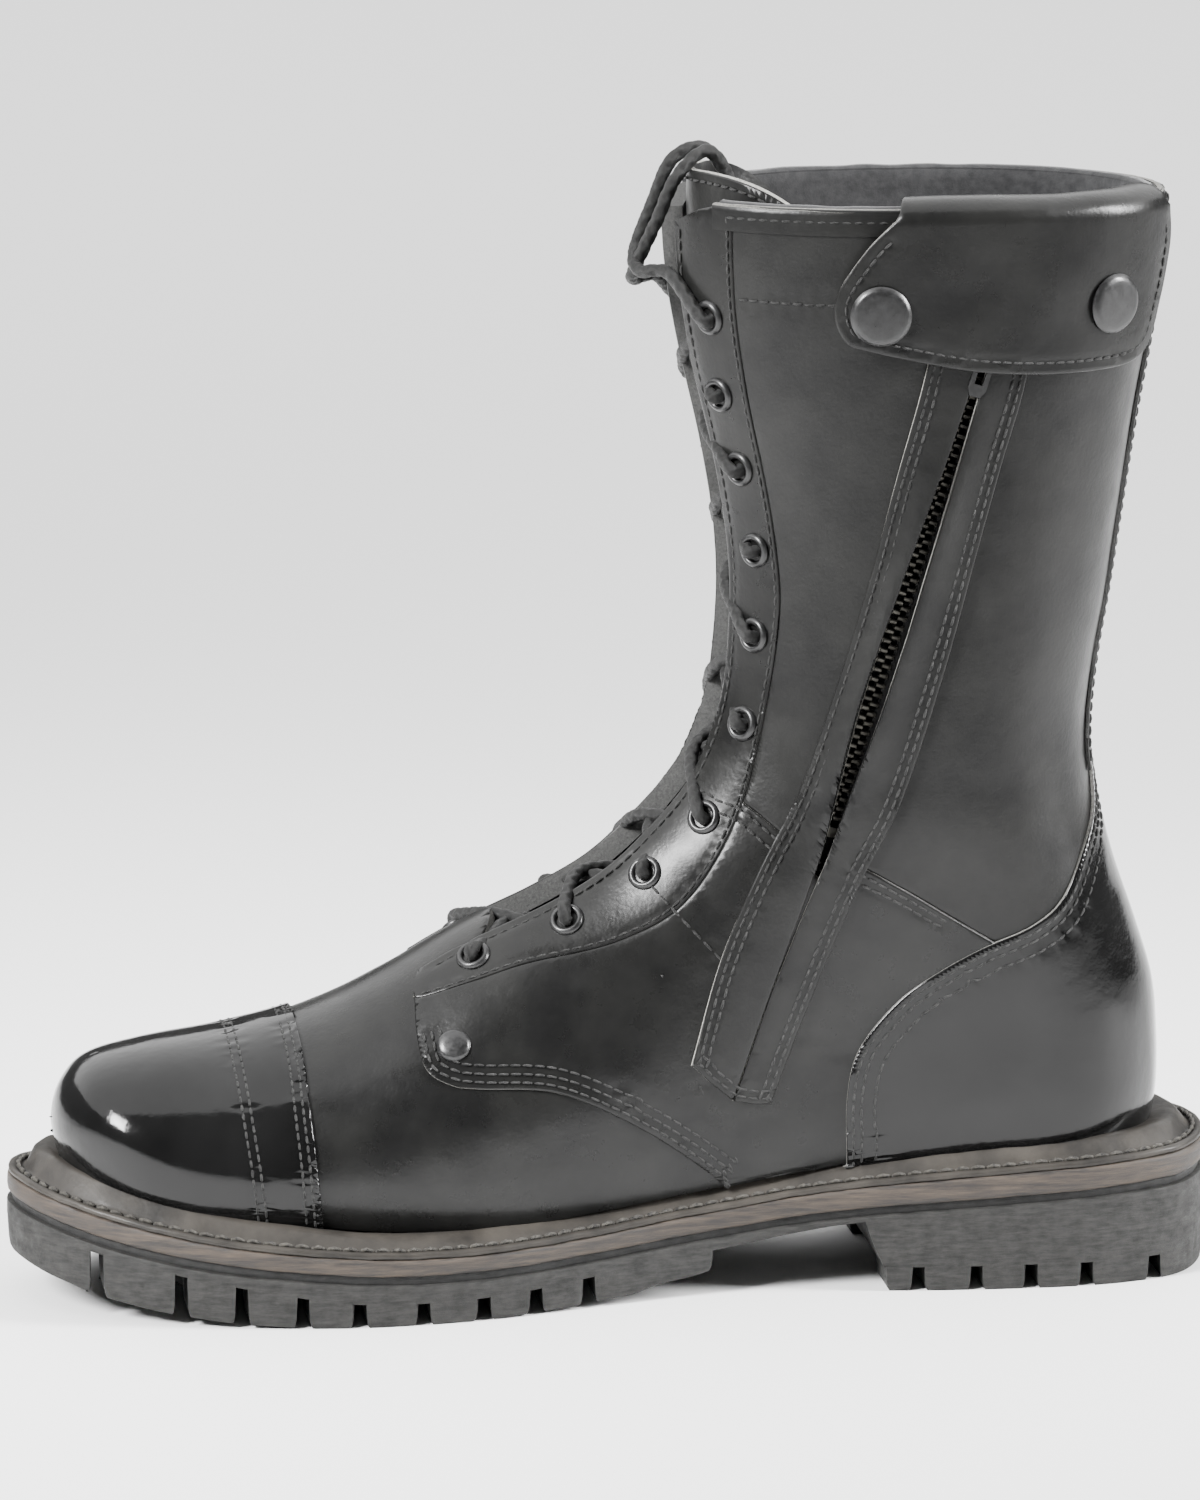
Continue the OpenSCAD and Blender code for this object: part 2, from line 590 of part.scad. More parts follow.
// Puts its children on the surface with +Z facing out
module at_surface(p, side, out = 0) {
    n = facing_out(p.x, p.y, side);
    translate(on_side(p.x, p.y, side) + out*n) rotate([0, acos(n.z), atan2(n.y, n.x)]) children();
}
module eyelet() {
    grip = -lining_in;
    rotate_extrude($fn = 32) polygon([
        [eyelet_bore/2, -grip - 0.8], [eyelet_d/2 - 0.4, -grip - 0.8], [eyelet_d/2 - 0.4, -grip - 0.2],
        [barrel_r, -grip - 0.2], [barrel_r, 0.15], [eyelet_d/2, 0.15], [eyelet_d/2 - 0.3, 0.7],
        [eyelet_d/2 - 1, 1], [eyelet_bore/2 + 0.3, 1], [eyelet_bore/2, 0.6]]);
}
module eyelets_medial() { color("#55565a") for (e = EYELETS) at_surface(e, -1) eyelet(); }
module eyelets_lateral() { color("#55565a") for (e = EYELETS) at_surface(e, 1) eyelet(); }
rivet_d = 8.8;
module rivets() {
    color("#3a3a3c") for (side = [-1, 1]) at_surface([-44*sx, 68*sz], side, 0.2)
        rotate_extrude($fn = 32) polygon([[0, 0], [rivet_d/2, 0], [rivet_d/2, 0.5],
            [rivet_d/2 - 1.2, 1.5], [0, 1.9]]);
}

// The lace rises out of each eyelet, crosses over the facing edge and the tongue, and goes under
// the other facing to the next eyelet up
lace_r = lace_d/2;
over = lace_r + 0.5;
function at_eyelet(k, side, out) = let (e = EYELETS[k])
    on_side(e.x, e.y, side) + out*facing_out(e.x, e.y, side);
function ridge_mid(k, f) =
    let (a = EYELETS[k], b = EYELETS[k-1], e = a + f*(b - a), n = near([e.x, e.y], FRONT),
        d = facing_out(e.x, e.y, -1), h = [d.x, d.z])
        e + (n[0] - 4.6)*h/norm(h);
function crossing(k, side, lift) =
    let (p = at_eyelet(k, side, over + 0.4), q = at_eyelet(k-1, -side, lining_in - over - 1.2),
        m = ridge_mid(k, 0.5))
        [at_eyelet(k, side, lining_in/2), p, p + 0.35*([m.x, 0, m.y] - p) + [-1.6, 0, 1.2]*lift,
            [m.x, 0, m.y] + lift*[-1.2, 0, 0.8], q];
function strand(side) = [for (k = [9:-1:1])
    each crossing(k, side*(k % 2 == 1 ? 1 : -1), side > 0 ? 1 : -0.6)];
bottom_bar = let (p = at_eyelet(9, -1, lining_in - over - 1), q = at_eyelet(9, 1, lining_in - over - 1))
    [p, (p + q)/2 + [-2, 0, 2], q];

function ring_at(P, i, r) =
    let (m = len(P), d = P[min(i+1, m-1)] - P[max(i-1, 0)], t = d/norm(d),
        u = cross(t, [0.31, 0.17, 0.93]), a = u/norm(u), b = cross(t, a))
        [for (k = [0:7]) P[i] + r*(cos(45*k)*a + sin(45*k)*b)];
module tube(P, r) {
    m = len(P);
    polyhedron([for (i = [0:m-1]) each ring_at(P, i, r)], [
        [for (k = [0:7]) k], [for (k = [7:-1:0]) 8*(m-1) + k],
        for (i = [0:m-2], k = [0:7]) let (a = 8*i + k, b = 8*i + (k+1)%8)
            each [[a, a+8, b], [b, a+8, b+8]]]);
}
// Above the top eyelets both ends knot in front and then tuck down behind the tongue
TOP_MEDIAL = sized3([[14, -13, 262], [7.5, -6, 262], [7, 1, 266], [12, 4, 278], [17, 4, 289],
    [25, 3, 292], [31, 1, 284], [33, 0, 270], [34, -2, 250], [36, -4, 232]]);
function sized3(P) = [for (p = P) [p[0]*sx, p[1]*sy, p[2]*sz]];
EYE_OUT = [for (side = [-1, 1]) [at_eyelet(0, side, lining_in/2), at_eyelet(0, side, over + 0.4)]];
function mirror_y(P) = [for (p = P) [p.x, -p.y, p.z]];
function end_route(side) = concat(EYE_OUT[side < 0 ? 0 : 1],
    side < 0 ? TOP_MEDIAL : [for (p = mirror_y(TOP_MEDIAL)) p + [0, 0, 3.6*(p.x < 20 ? -1 : 0)]]);
module lace() {
    color("#101011") {
        tube([for (k = [44:-1:0]) strand(-1)[k], each bottom_bar, each strand(1)], lace_r);
        for (side = [-1, 1]) tube(end_route(side), lace_r);
    }
}
module aglets() {
    color("#0c0c0d") for (side = [-1, 1]) let (P = end_route(side), e = P[len(P)-1], t = e - P[len(P)-2])
        tube([e + 0.05*t/norm(t), e + 18*t/norm(t)], lace_r*0.8);
}

// ---- zip ------------------------------------------------------------------------------------
// The zip runs straight behind the slit: local X goes to the rear, Y up the chain, Z outwards
ZIP_A = [97*sx, -42.4*sy, 268*sz];
ZIP_B = [51.1*sx, -29.9*sy, 115*sz];
function unit(v) = v/norm(v);
zip_down = unit(ZIP_B - ZIP_A);
zip_out = let (n = [0, -1, -0.06]) unit(n - (n*zip_down)*zip_down);
zip_side = cross(-zip_down, zip_out);
module zip_frame(s = 0) {
    o = ZIP_A + s*zip_down;
    multmatrix([[zip_side.x, -zip_down.x, zip_out.x, o.x], [zip_side.y, -zip_down.y, zip_out.y, o.y],
        [zip_side.z, -zip_down.z, zip_out.z, o.z], [0, 0, 0, 1]]) children();
}
chain_top = 9;
chain_end = 152;
tooth_t = 2.2;
slider_top = 8.6;
slider_len = 12;
// The chain opens into a V round the slider's wedge
function spread(s) = 1.2*(1 - ease((s - 14)/3.5));
tooth_w = 2.3;
module teeth(side) {
    first = chain_top + (side > 0 ? tooth_pitch/2 : 0);
    for (s = [first:tooth_pitch:chain_end]) zip_frame(s)
        translate([side*(spread(s) + 0.75), 0, 0])
            cube([tooth_w, tooth_pitch*0.44, tooth_t], center = true);
}
module zip_teeth_front() { color("#8a7c50") teeth(-1); }
module zip_teeth_rear() { color("#8a7c50") teeth(1); }
tape_t = 0.6;
module tape(side) {
    zip_frame() translate([0, 0, -tape_t/2]) linear_extrude(tape_t) scale([side, 1])
        polygon([[3.3, -4], [3.3, -14.5], [2, -19], [2, -chain_end - 4],
            [slot_w/2 - 1.4, -chain_end - 2], [slot_w/2 - 1.4, -4]]);
}
module zip_tape_front() { color("#17171a") tape(-1); }
module zip_tape_rear() { color("#17171a") tape(1); }
module zip_stops() {
    color("#8a7c50") {
        for (side = [-1, 1]) zip_frame(6.6) translate([side*2.4, 0, 0])
            cube([1.6, 3, 2.4], center = true);
        zip_frame(chain_end + 2.4) cube([3.9, 2.6, 2.4], center = true);
    }
}
plate_w = 8.2;
module zip_slider() {
    color("#2c2c2e") zip_frame(slider_top) {
        for (z = [1.2, -2.2]) translate([-plate_w/2, -slider_len, z])
            cube([plate_w, slider_len, 1]);
        for (x = [-plate_w/2, plate_w/2 - 0.8], z = [0.5, -1.4]) translate([x, -slider_len, z])
            cube([0.8, slider_len, 0.9]);
        translate([-0.6, -4, -1.3]) cube([1.2, 3.2, 2.6]);
        // Crown that holds the pull
        translate([-1.1, 0, 0]) rotate([90, 0, 90]) linear_extrude(2.2) difference() {
            polygon([[-10, 2.1], [-9.6, 5.2], [-8.8, 5.9], [-3.8, 5.9], [-3, 5.2], [-2.6, 2.1]]);
            polygon([[-8.8, 2.9], [-8.8, 4.9], [-3.8, 4.9], [-3.8, 2.9]]);
        }
    }
}
pull_len = 27;
pivot_s = 5;
module zip_pull() {
    color("#1c1c1d") zip_frame(slider_top) intersection() {
        translate([-6, 0, 0]) rotate([90, 0, 90]) linear_extrude(12) polygon([
            [-pivot_s + 0.6, 3.4], [-pivot_s - 0.7, 3.4], [-pivot_s - 3.6, 5.2], [-pull_len, 5.2],
            [-pull_len, 6.1], [-pivot_s - 3.2, 6.1], [-pivot_s - 0.6, 4.4], [-pivot_s + 0.6, 4.4]]);
        linear_extrude(10) difference() {
            polygon([[-2.2, 0], [2.2, 0], [2.4, -pull_len + 2.4], [1.4, -pull_len + 0.4],
                [-1.4, -pull_len + 0.4], [-2.4, -pull_len + 2.4]]);
            translate([-1.4, -10.6]) square([2.8, 10.6 - pivot_s - 0.6]);
            translate([-1.1, -pull_len + 3.6]) square([2.2, 4.4]);
        }
    }
}
module zip_gusset() {
    color("#161618") cut_piece() {
        skin(lining_in - 2.8, lining_in - 2);
        trimmed_upper(-1) polygon([[zip_x(267*sz) - 13, 267*sz], [zip_x(267*sz) + 13, 267*sz],
            [ZIP_END.x + 12, 106*sz], [ZIP_END.x - 12, 106*sz]]);
    }
}
module slit_and_seam() {
    polygon([[zip_x(300*sz) - slit_w/2, 300*sz], [zip_x(300*sz) + slit_w/2, 300*sz],
        [ZIP_END.x + slit_w/2, ZIP_END.y], [39.15*sx, 83*sz], [28.1*sx, 50*sz], [27.9*sx, 50*sz],
        [38.85*sx, 83*sz], [ZIP_END.x - slit_w/2, ZIP_END.y]]);
}
module guard_outline() {
    polygon(concat(GUARD_FRONT, GUARD_REAR));
}
module rear_of_slit() {
    polygon([[zip_x(300*sz), 300*sz], ZIP_END, [39*sx, 83*sz], [28*sx, 50*sz], [28*sx, 20], [FAR, 20],
        [FAR, 300*sz]]);
}
module guard(rear) {
    cut_piece() {
        skin(eps, overlay);
        trimmed_upper(-1) difference() {
            guard_outline();
            slit_and_seam();
            if (rear) difference() {
                square([2*FAR, 800], center = true);
                rear_of_slit();
            } else rear_of_slit();
        }
    }
}
module zip_guard_front() { color("#232324") guard(false); }
module zip_guard_rear() { color("#232324") guard(true); }

// ---- closure flap over the top of the zip ---------------------------------------------------
flap_in = 3.8;
flap_mid = 4.6;
flap_out = 5.8;
module flap_layer(a, b) {
    cut_piece() {
        skin(a, b);
        across(-1) polygon(FLAP);
    }
}
module closure_flap() { color("#1a1a1b") flap_layer(flap_mid, flap_out); }
module flap_lining() { color("#26262a") flap_layer(flap_in, flap_mid - eps); }
// Strip sewn inside the collar, with the fold that carries the flap over the rim
module flap_anchor() {
    rim = collar_height;
    color("#1a1a1b") cut_piece() {
        union() {
            skin(lining_in - 1.5, lining_in - 0.1);
            intersection() {
                skin(lining_in - 1.4, flap_in - 0.4);
                across(-1) translate([-FAR, rim + 0.3]) square([2*FAR, 1.4]);
            }
        }
        across(-1) polygon([[66*sx, rim + 1.6], [68*sx, 268*sz], [132*sx, 268*sz], [134*sx, rim + 1.6]]);
    }
}
SNAPS = sized([[63, 256], [120, 257]]);
module snap_caps() {
    color("#161617") for (p = SNAPS) at_surface(p, -1, flap_out - 0.2) rotate_extrude($fn = 48)
        polygon([[0, -1.4], [1.6, -1.4], [1.6, 0], [snap_d/2 - 0.4, 0], [snap_d/2, 0.5],
            [snap_d/2 - 0.6, 1.1],
            [snap_d*0.3, 1.8], [0, 2.1]]);
}
module snap_sockets() {
    color("#6d6e72") for (p = SNAPS) at_surface(p, -1) rotate_extrude($fn = 32)
        polygon([[2.7, 1.6], [5.2, 1.6], [5.6, 2], [5.6, 3.7], [2.7, 3.7]]);
}
module snap_studs() {
    color("#6d6e72") for (p = SNAPS) at_surface(p, -1) rotate_extrude($fn = 32)
        polygon([[0, -1.7], [1.5, -1.7], [1.5, 0], [4.5, 0], [4.5, 0.8], [1.9, 0.9], [1.8, 1.8], [1, 2.4],
            [0, 2.4]]);
}

outsole();
heel_block();
midsole();
welt();
insole_board();
cork_filler();
shank();
footbed();
vamp();
vamp_lining();
toe_puff();
toe_cap();
heel_stiffener();
interlining();
collar_padding();
lining();
tongue();
quarter_medial();
quarter_lateral();
shaft_medial_front();
shaft_medial_rear();
shaft_lateral();
facing_medial();
facing_lateral();
heel_counter_cover();
backstay();
eyelets_medial();
eyelets_lateral();
rivets();
lace();
aglets();
zip_guard_front();
zip_guard_rear();
zip_gusset();
zip_tape_front();
zip_tape_rear();
zip_teeth_front();
zip_teeth_rear();
zip_stops();
zip_slider();
zip_pull();
flap_anchor();
closure_flap();
flap_lining();
snap_caps();
snap_sockets();
snap_studs();
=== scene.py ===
"""Side-zip lace-up work boot, right foot: toe towards -X, medial side towards -Y.

Lengths are in millimetres up to the point where a mesh is made, which is in metres.
The upper is the surface that the CAD uses: a half-width for each side-view place, rounded off
towards the front and the back profile. Leather pieces are panels between offsets from it.
"""
import math
import random
from itertools import product

import bmesh
import bpy
import numpy as np
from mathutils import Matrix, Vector, kdtree, noise
from mathutils.geometry import delaunay_2d_cdt


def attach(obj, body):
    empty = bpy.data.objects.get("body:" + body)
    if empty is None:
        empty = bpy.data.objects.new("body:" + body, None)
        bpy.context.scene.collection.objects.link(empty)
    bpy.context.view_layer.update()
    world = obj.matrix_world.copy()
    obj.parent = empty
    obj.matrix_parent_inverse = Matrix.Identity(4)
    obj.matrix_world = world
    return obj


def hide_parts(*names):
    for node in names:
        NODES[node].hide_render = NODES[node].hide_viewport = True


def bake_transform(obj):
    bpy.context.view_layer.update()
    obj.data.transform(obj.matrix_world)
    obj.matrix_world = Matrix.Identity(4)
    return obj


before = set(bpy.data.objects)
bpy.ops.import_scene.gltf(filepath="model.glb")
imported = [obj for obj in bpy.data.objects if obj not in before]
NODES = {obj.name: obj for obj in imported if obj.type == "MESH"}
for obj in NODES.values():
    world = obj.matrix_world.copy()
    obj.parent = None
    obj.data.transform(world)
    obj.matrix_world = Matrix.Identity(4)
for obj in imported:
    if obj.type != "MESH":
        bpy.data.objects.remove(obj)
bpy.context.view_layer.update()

MM = 0.001
rng = random.Random(7)

# ---- camera -------------------------------------------------------------------------------------
CAMERA_AZIMUTH = math.radians(-7.5)
CAMERA_HEIGHT = math.radians(11)
CAMERA_DISTANCE = 2.10
CAMERA_LENS, CAMERA_SENSOR = 195.7, 36
AIM = Vector((-0.002, 0, 0.137))
camera = bpy.data.objects.new("camera", bpy.data.cameras.new("camera"))
bpy.context.scene.collection.objects.link(camera)
towards = Vector((math.sin(CAMERA_AZIMUTH) * math.cos(CAMERA_HEIGHT),
                  -math.cos(CAMERA_AZIMUTH) * math.cos(CAMERA_HEIGHT), math.sin(CAMERA_HEIGHT)))
camera.location = AIM + CAMERA_DISTANCE * towards
camera.rotation_euler = towards.to_track_quat("Z", "Y").to_euler()
camera.data.lens, camera.data.sensor_width = CAMERA_LENS, CAMERA_SENSOR
bpy.context.scene.camera = camera


# ---- curves -------------------------------------------------------------------------------------
def smooth(points, steps=10, loop=False):
    """Catmull-Rom curve through the points."""
    p = np.array(points, float)
    if loop:
        p = np.vstack([p[-1:], p, p[:2]])
    else:
        p = np.vstack([2 * p[0] - p[1], p, 2 * p[-1] - p[-2]])
    t = (np.arange(steps) / steps)[:, None]
    out = [0.5 * (2 * b + (c - a) * t + (2 * a - 5 * b + 4 * c - d) * t**2 + (3 * b - a - 3 * c + d) * t**3)
           for a, b, c, d in zip(p[:-3], p[1:-2], p[2:-1], p[3:])]
    if not loop:
        out.append(p[-2:-1])
    return np.vstack(out)


def resample(points, gap):
    """The polyline with its points about gap apart, its ends kept."""
    p = np.array(points, float)
    s = np.concatenate([[0], np.cumsum(np.linalg.norm(np.diff(p, axis=0), axis=1))])
    at = np.linspace(0, s[-1], max(2, int(round(s[-1] / gap)) + 1))
    return np.stack([np.interp(at, s, p[:, k]) for k in range(p.shape[1])], axis=1)


def ease(t):
    c = np.clip(t, 0, 1)
    return c * c * (3 - 2 * c)


# ---- the upper's surface ------------------------------------------------------------------------
FRONT = smooth([
    (-143, 37.5, 40), (-144.3, 46, 40), (-141.8, 54.5, 39), (-135, 61, 38), (-120, 64.7, 37),
    (-100, 67.5, 38), (-80, 72, 42), (-60, 80.5, 48), (-40, 92, 54), (-20, 101.5, 60),
    (-3, 112, 64), (10, 124.5, 66), (18.5, 136, 66), (24.5, 152, 64), (27, 170, 60),
    (27, 190, 58), (23, 216, 58), (17.5, 240, 60), (14, 262, 62), (13, 290, 64)])
BACK = smooth([
    (142, 39, 34), (143, 48, 34), (142.8, 60, 34), (141.3, 75, 35), (136.5, 91, 37),
    (130.5, 108, 39), (126, 126, 41), (124.5, 142, 43), (126, 160, 46), (129, 178, 48),
    (132.5, 202, 50), (136, 225, 53), (140, 248, 56), (142.5, 270, 59), (143.5, 290, 62)])
FEATHER = smooth([
    (-145, 37), (-120, 30.5), (-95, 25.5), (-60, 21.5), (-20, 22), (20, 26.5), (60, 32),
    (100, 36), (145, 38.5)])
WIDE_MEDIAL = smooth([
    (-145, 36), (-120, 38.5), (-95, 42), (-60, 45.5), (-35, 44), (-10, 39), (15, 33.5),
    (40, 30), (65, 29.5), (90, 31), (115, 32), (145, 32)])
WIDE_LATERAL = smooth([
    (-145, 36), (-120, 38.5), (-95, 42), (-60, 46.5), (-35, 48.5), (-10, 47), (15, 42.5),
    (40, 37.5), (65, 34.5), (90, 33.5), (115, 33), (145, 32)])
WIDE_SHAFT = smooth([
    (60, 34), (100, 36.5), (130, 39), (160, 40.3), (200, 41.3), (240, 44), (290, 48.5)])
# Each row of the surface is a chord between a place on FRONT and one on BASE
ROWS = np.array([
    (0.1, 0.02), (1, 0.35), (1.6, 0.55), (2.3, 0.8), (3.1, 1.05), (4, 1.45), (5, 2), (6, 2.6),
    (7, 3.15), (8, 3.75), (8.7, 4.2), (9.4, 4.65), (10.1, 5.3), (10.8, 6.1), (11.4, 7),
    (12, 8), (12.4, 9), (12.7, 10.2), (13, 11.6), (13.4, 13), (13.8, 14.4), (14.4, 16.2),
    (15, 18), (16, 19.55), (17, 20.65), (18, 21.65), (19, 23)])
HEEL_ROW = 16
LAST_ROW = len(ROWS) - 1
STEPS, CURVE_STEPS = 10, 8


def feather(x):
    return np.interp(x, FEATHER[:, 0], FEATHER[:, 1])


BASE_X = np.array([-143, -120, -95, -60, -20, 20, 60, 100, 130, 142.0])
BASE = np.vstack([np.stack([BASE_X, feather(BASE_X)], axis=1), BACK[STEPS::STEPS, :2]])
EXTEND = 60
BATCH = 4000
SHARP = 8
FULL_LINE = math.sqrt(math.pi) * math.gamma((SHARP - 1) / 2) / math.gamma(SHARP / 2)


def extended(curve):
    """The profile with straight ends, one point a millimetre, for measuring distances to it."""
    first = curve[0] + EXTEND * (curve[0] - curve[1]) / np.linalg.norm((curve[0] - curve[1])[:2])
    last = curve[-1] + EXTEND * (curve[-1] - curve[-2]) / np.linalg.norm((curve[-1] - curve[-2])[:2])
    first[2], last[2] = curve[0, 2], curve[-1, 2]
    return resample(np.vstack([first, curve, last]), 1.0)


def measure(points, curve):
    """How deep inside the profile each point lies, as a share of the profile's rounding there.

    Near the profile it is the true distance, and further in a smooth mean over the whole profile.
    """
    out = np.empty(len(points))
    a, d = curve[:-1, :2], np.diff(curve[:, :2], axis=0)
    step = np.linalg.norm(d, axis=1)
    weight = np.concatenate([step[:1], (step[1:] + step[:-1]) / 2, step[-1:]])
    dd = (d**2).sum(1)
    for i in range(0, len(points), BATCH):
        p = points[i:i + BATCH]
        r2 = ((p[:, None] - curve[None, :, :2])**2).sum(2) + 1e-6
        w = r2**(-SHARP / 2) * weight
        total = w.sum(1)
        soft = (FULL_LINE / total)**(1 / (SHARP - 1))
        reach = (w @ curve[:, 2]) / total
        t = np.clip(((p[:, None] - a) * d).sum(2) / dd, 0, 1)
        true = np.sqrt(((p[:, None] - a - t[..., None] * d)**2).sum(2).min(1))
        k = ease((true - 1.5) / 3.5)
        out[i:i + BATCH] = (true * (1 - k) + soft * k) / reach
    return out


def round_off(t):
    return np.sqrt(1 - (1 - np.clip(t, 0, 1))**2.2)


def lean(x):
    return -6 * ease((-50 - x) / 95)


FRONT_LONG, BACK_LONG = extended(FRONT), extended(BACK)


def half_widths(points):
    """Half-widths (medial, lateral) at side-view points."""
    x, z = points[:, 0], points[:, 1]
    shaft = np.interp(z, WIDE_SHAFT[:, 0], WIDE_SHAFT[:, 1])
    k = ease((z - 45) / 75)
    tuck = 1 - 0.07 * np.clip(1 - (z - feather(x)) / 14, 0, 1)**2
    rounding = round_off(measure(points, FRONT_LONG)) * round_off(measure(points, BACK_LONG)) * tuck
    return [(np.interp(x, c[:, 0], c[:, 1]) * (1 - k) + shaft * k) * rounding
            for c in (WIDE_MEDIAL, WIDE_LATERAL)]


ROW_STEP = 1 / 12
TURN_STEP = 1.5
U = np.arange(0, LAST_ROW + 1e-9, ROW_STEP)
row_at = np.stack([np.interp(U, np.arange(len(ROWS)), ROWS[:, k]) for k in (0, 1)], axis=1)
CHORD_A = np.stack([np.interp(row_at[:, 0] * STEPS, np.arange(len(FRONT)), FRONT[:, k])
                    for k in (0, 1)], axis=1)
CHORD_B = np.empty_like(CHORD_A)
low = row_at[:, 1] <= len(BASE_X) - 1
for k in (0, 1):
    CHORD_B[low, k] = np.interp(row_at[low, 1], np.arange(len(BASE)), BASE[:, k])
    CHORD_B[~low, k] = np.interp((row_at[~low, 1] - len(BASE_X) + 1) * STEPS,
                                 np.arange(len(BACK)), BACK[:, k])
on_base = CHORD_B[low]
CHORD_B[low, 1] = feather(on_base[:, 0])


def build_surface():
    """Positions and normals over (row, turn): turn 0 is the front ridge, +180 and -180 the back."""
    turn = np.arange(0, 180 + TURN_STEP / 2, TURN_STEP)
    t = (1 - np.cos(np.radians(turn))) / 2
    q = CHORD_A[:, None] + t[None, :, None] * (CHORD_B - CHORD_A)[:, None]
    medial, lateral = [w.reshape(q.shape[:2]) for w in half_widths(q.reshape(-1, 2))]
    sides = [np.stack([q[..., 0], lean(q[..., 0]) + side * w, q[..., 1]], axis=2)
             for side, w in ((-1, medial), (1, lateral))]
    p = np.concatenate([sides[1][:, :0:-1], sides[0]], axis=1)
    n = np.cross(np.gradient(p, axis=0), np.gradient(p, axis=1))
    n /= np.linalg.norm(n, axis=2, keepdims=True)
    back = n[int(HEEL_ROW / ROW_STEP):]
    for col in (0, -1):
        back[:, col, 1] = 0
        back[:, col] /= np.linalg.norm(back[:, col], axis=1, keepdims=True)
    return p, n


SURFACE, NORMALS = build_surface()
MEDIAL_PLACE = (150, 180)
# The normal points outwards: on the medial side that is towards -Y
if NORMALS[MEDIAL_PLACE][1] > 0:
    NORMALS = -NORMALS


def sample(grid, uv):
    """Bilinear value of a grid at (row, turn) places. A turn past 180 comes round the other side."""
    turn = (uv[:, 1] + 180) % 360 - 180
    turn = np.where((turn == -180) & (uv[:, 1] > 0), 180, turn)
    a = np.clip(uv[:, 0] / ROW_STEP, 0, grid.shape[0] - 1.001)
    b = np.clip((turn + 180) / TURN_STEP, 0, grid.shape[1] - 1.001)
    i, j = a.astype(int), b.astype(int)
    s, t = (a - i)[:, None], (b - j)[:, None]
    return ((grid[i, j] * (1 - s) + grid[i + 1, j] * s) * (1 - t)
            + (grid[i, j + 1] * (1 - s) + grid[i + 1, j + 1] * s) * t)


def upper(uv, offset=0.0):
    """Points on the upper, moved out along its normal."""
    uv = np.atleast_2d(uv)
    n = sample(NORMALS, uv)
    n /= np.linalg.norm(n, axis=1, keepdims=True)
    return sample(SURFACE, uv) + np.reshape(offset, (-1, 1)) * n


def locate(points, side):
    """(row, turn) of side-view points (x, z); side is -1 medial, 1 lateral. Turn is + on the medial."""
    out = []
    chord = CHORD_B - CHORD_A
    length2 = (chord**2).sum(1)
    for p in np.atleast_2d(points):
        r = p[:2] - CHORD_A
        over = r[:, 0] * chord[:, 1] - r[:, 1] * chord[:, 0]
        t = np.clip((r * chord).sum(1) / length2, 0, 1)
        gap = np.linalg.norm(r - t[:, None] * chord, axis=1)
        i = int(np.argmin(gap))
        best = (gap[i], float(i), t[i])
        for j in (i - 1, i):
            if 0 <= j < len(U) - 1 and over[j] * over[j + 1] < 0:
                f = over[j] / (over[j] - over[j + 1])
                best = (0, j + f, t[j] * (1 - f) + t[j + 1] * f)
        out.append((best[1] * ROW_STEP, -side * math.degrees(math.acos(1 - 2 * best[2]))))
    return np.array(out)


def trace(points, side, gap=1.2):
    """A side-view curve through the points, as (row, turn) places on the surface."""
    return locate(resample(smooth(points, CURVE_STEPS), gap), side)


def line(a, b, count=24):
    """Places from a to b, straight in (row, turn)."""
    return np.linspace(a, b, count)


def frame_at(shape, uv):
    """Tangents and the outward normal of a shape function at places."""
    h = 0.02
    pu = (shape(uv + [h, 0]) - shape(uv - [h, 0])) / (2 * h)
    pv = (shape(uv + [0, 20 * h]) - shape(uv - [0, 20 * h])) / (40 * h)
    n = np.cross(pu, pv)
    return pu, pv, n / np.linalg.norm(n, axis=1, keepdims=True)


def shifted(path, distance, shape=upper, steps=1, closed=False):
    """The path moved sideways over the surface: to its left seen from outside when distance is +."""
    q = np.array(path, float)
    for _ in range(steps):
        p = shape(q)
        if closed:
            along = np.roll(p, -1, axis=0) - np.roll(p, 1, axis=0)
        else:
            along = np.gradient(p, axis=0)
        along /= np.linalg.norm(along, axis=1, keepdims=True) + 1e-12
        pu, pv, _n = frame_at(shape, q)
        out = shape(q, 1.0) - p
        want = np.cross(out, along) * distance / steps
        uu, uv_, vv = (pu * pu).sum(1), (pu * pv).sum(1), (pv * pv).sum(1)
        bu, bv = (pu * want).sum(1), (pv * want).sum(1)
        det = uu * vv - uv_**2 + 1e-9
        q = q + np.stack([(bu * vv - bv * uv_) / det, (bv * uu - bu * uv_) / det], axis=1)
    return q


# ---- meshes -------------------------------------------------------------------------------------
def add_mesh(name, verts, faces, materials, indices=None, sharp=None):
    mesh = bpy.data.meshes.new(name)
    mesh.from_pydata((np.asarray(verts) * MM).tolist(), [], faces)
    for m in materials:
        mesh.materials.append(m)
    if indices is not None:
        mesh.polygons.foreach_set("material_index", indices)
    mesh.polygons.foreach_set("use_smooth", [True] * len(mesh.polygons))
    mesh.update()
    if sharp:
        mesh.set_sharp_from_angle(angle=math.radians(sharp))
    obj = bpy.data.objects.new(name, mesh)
    bpy.context.scene.collection.objects.link(obj)
    return obj


def register(obj, slot, *nodes, body="root"):
    """The piece rides on a body and stands for CAD nodes, which it hides; its slot is not used."""
    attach(obj, body)
    if nodes:
        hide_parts(*nodes)
    return obj


def turns_left(loop):
    """Twice the area of a plane outline, + when it runs anticlockwise."""
    x, y = loop[:, 0], loop[:, 1]
    return (x * np.roll(y, -1) - np.roll(x, -1) * y).sum()


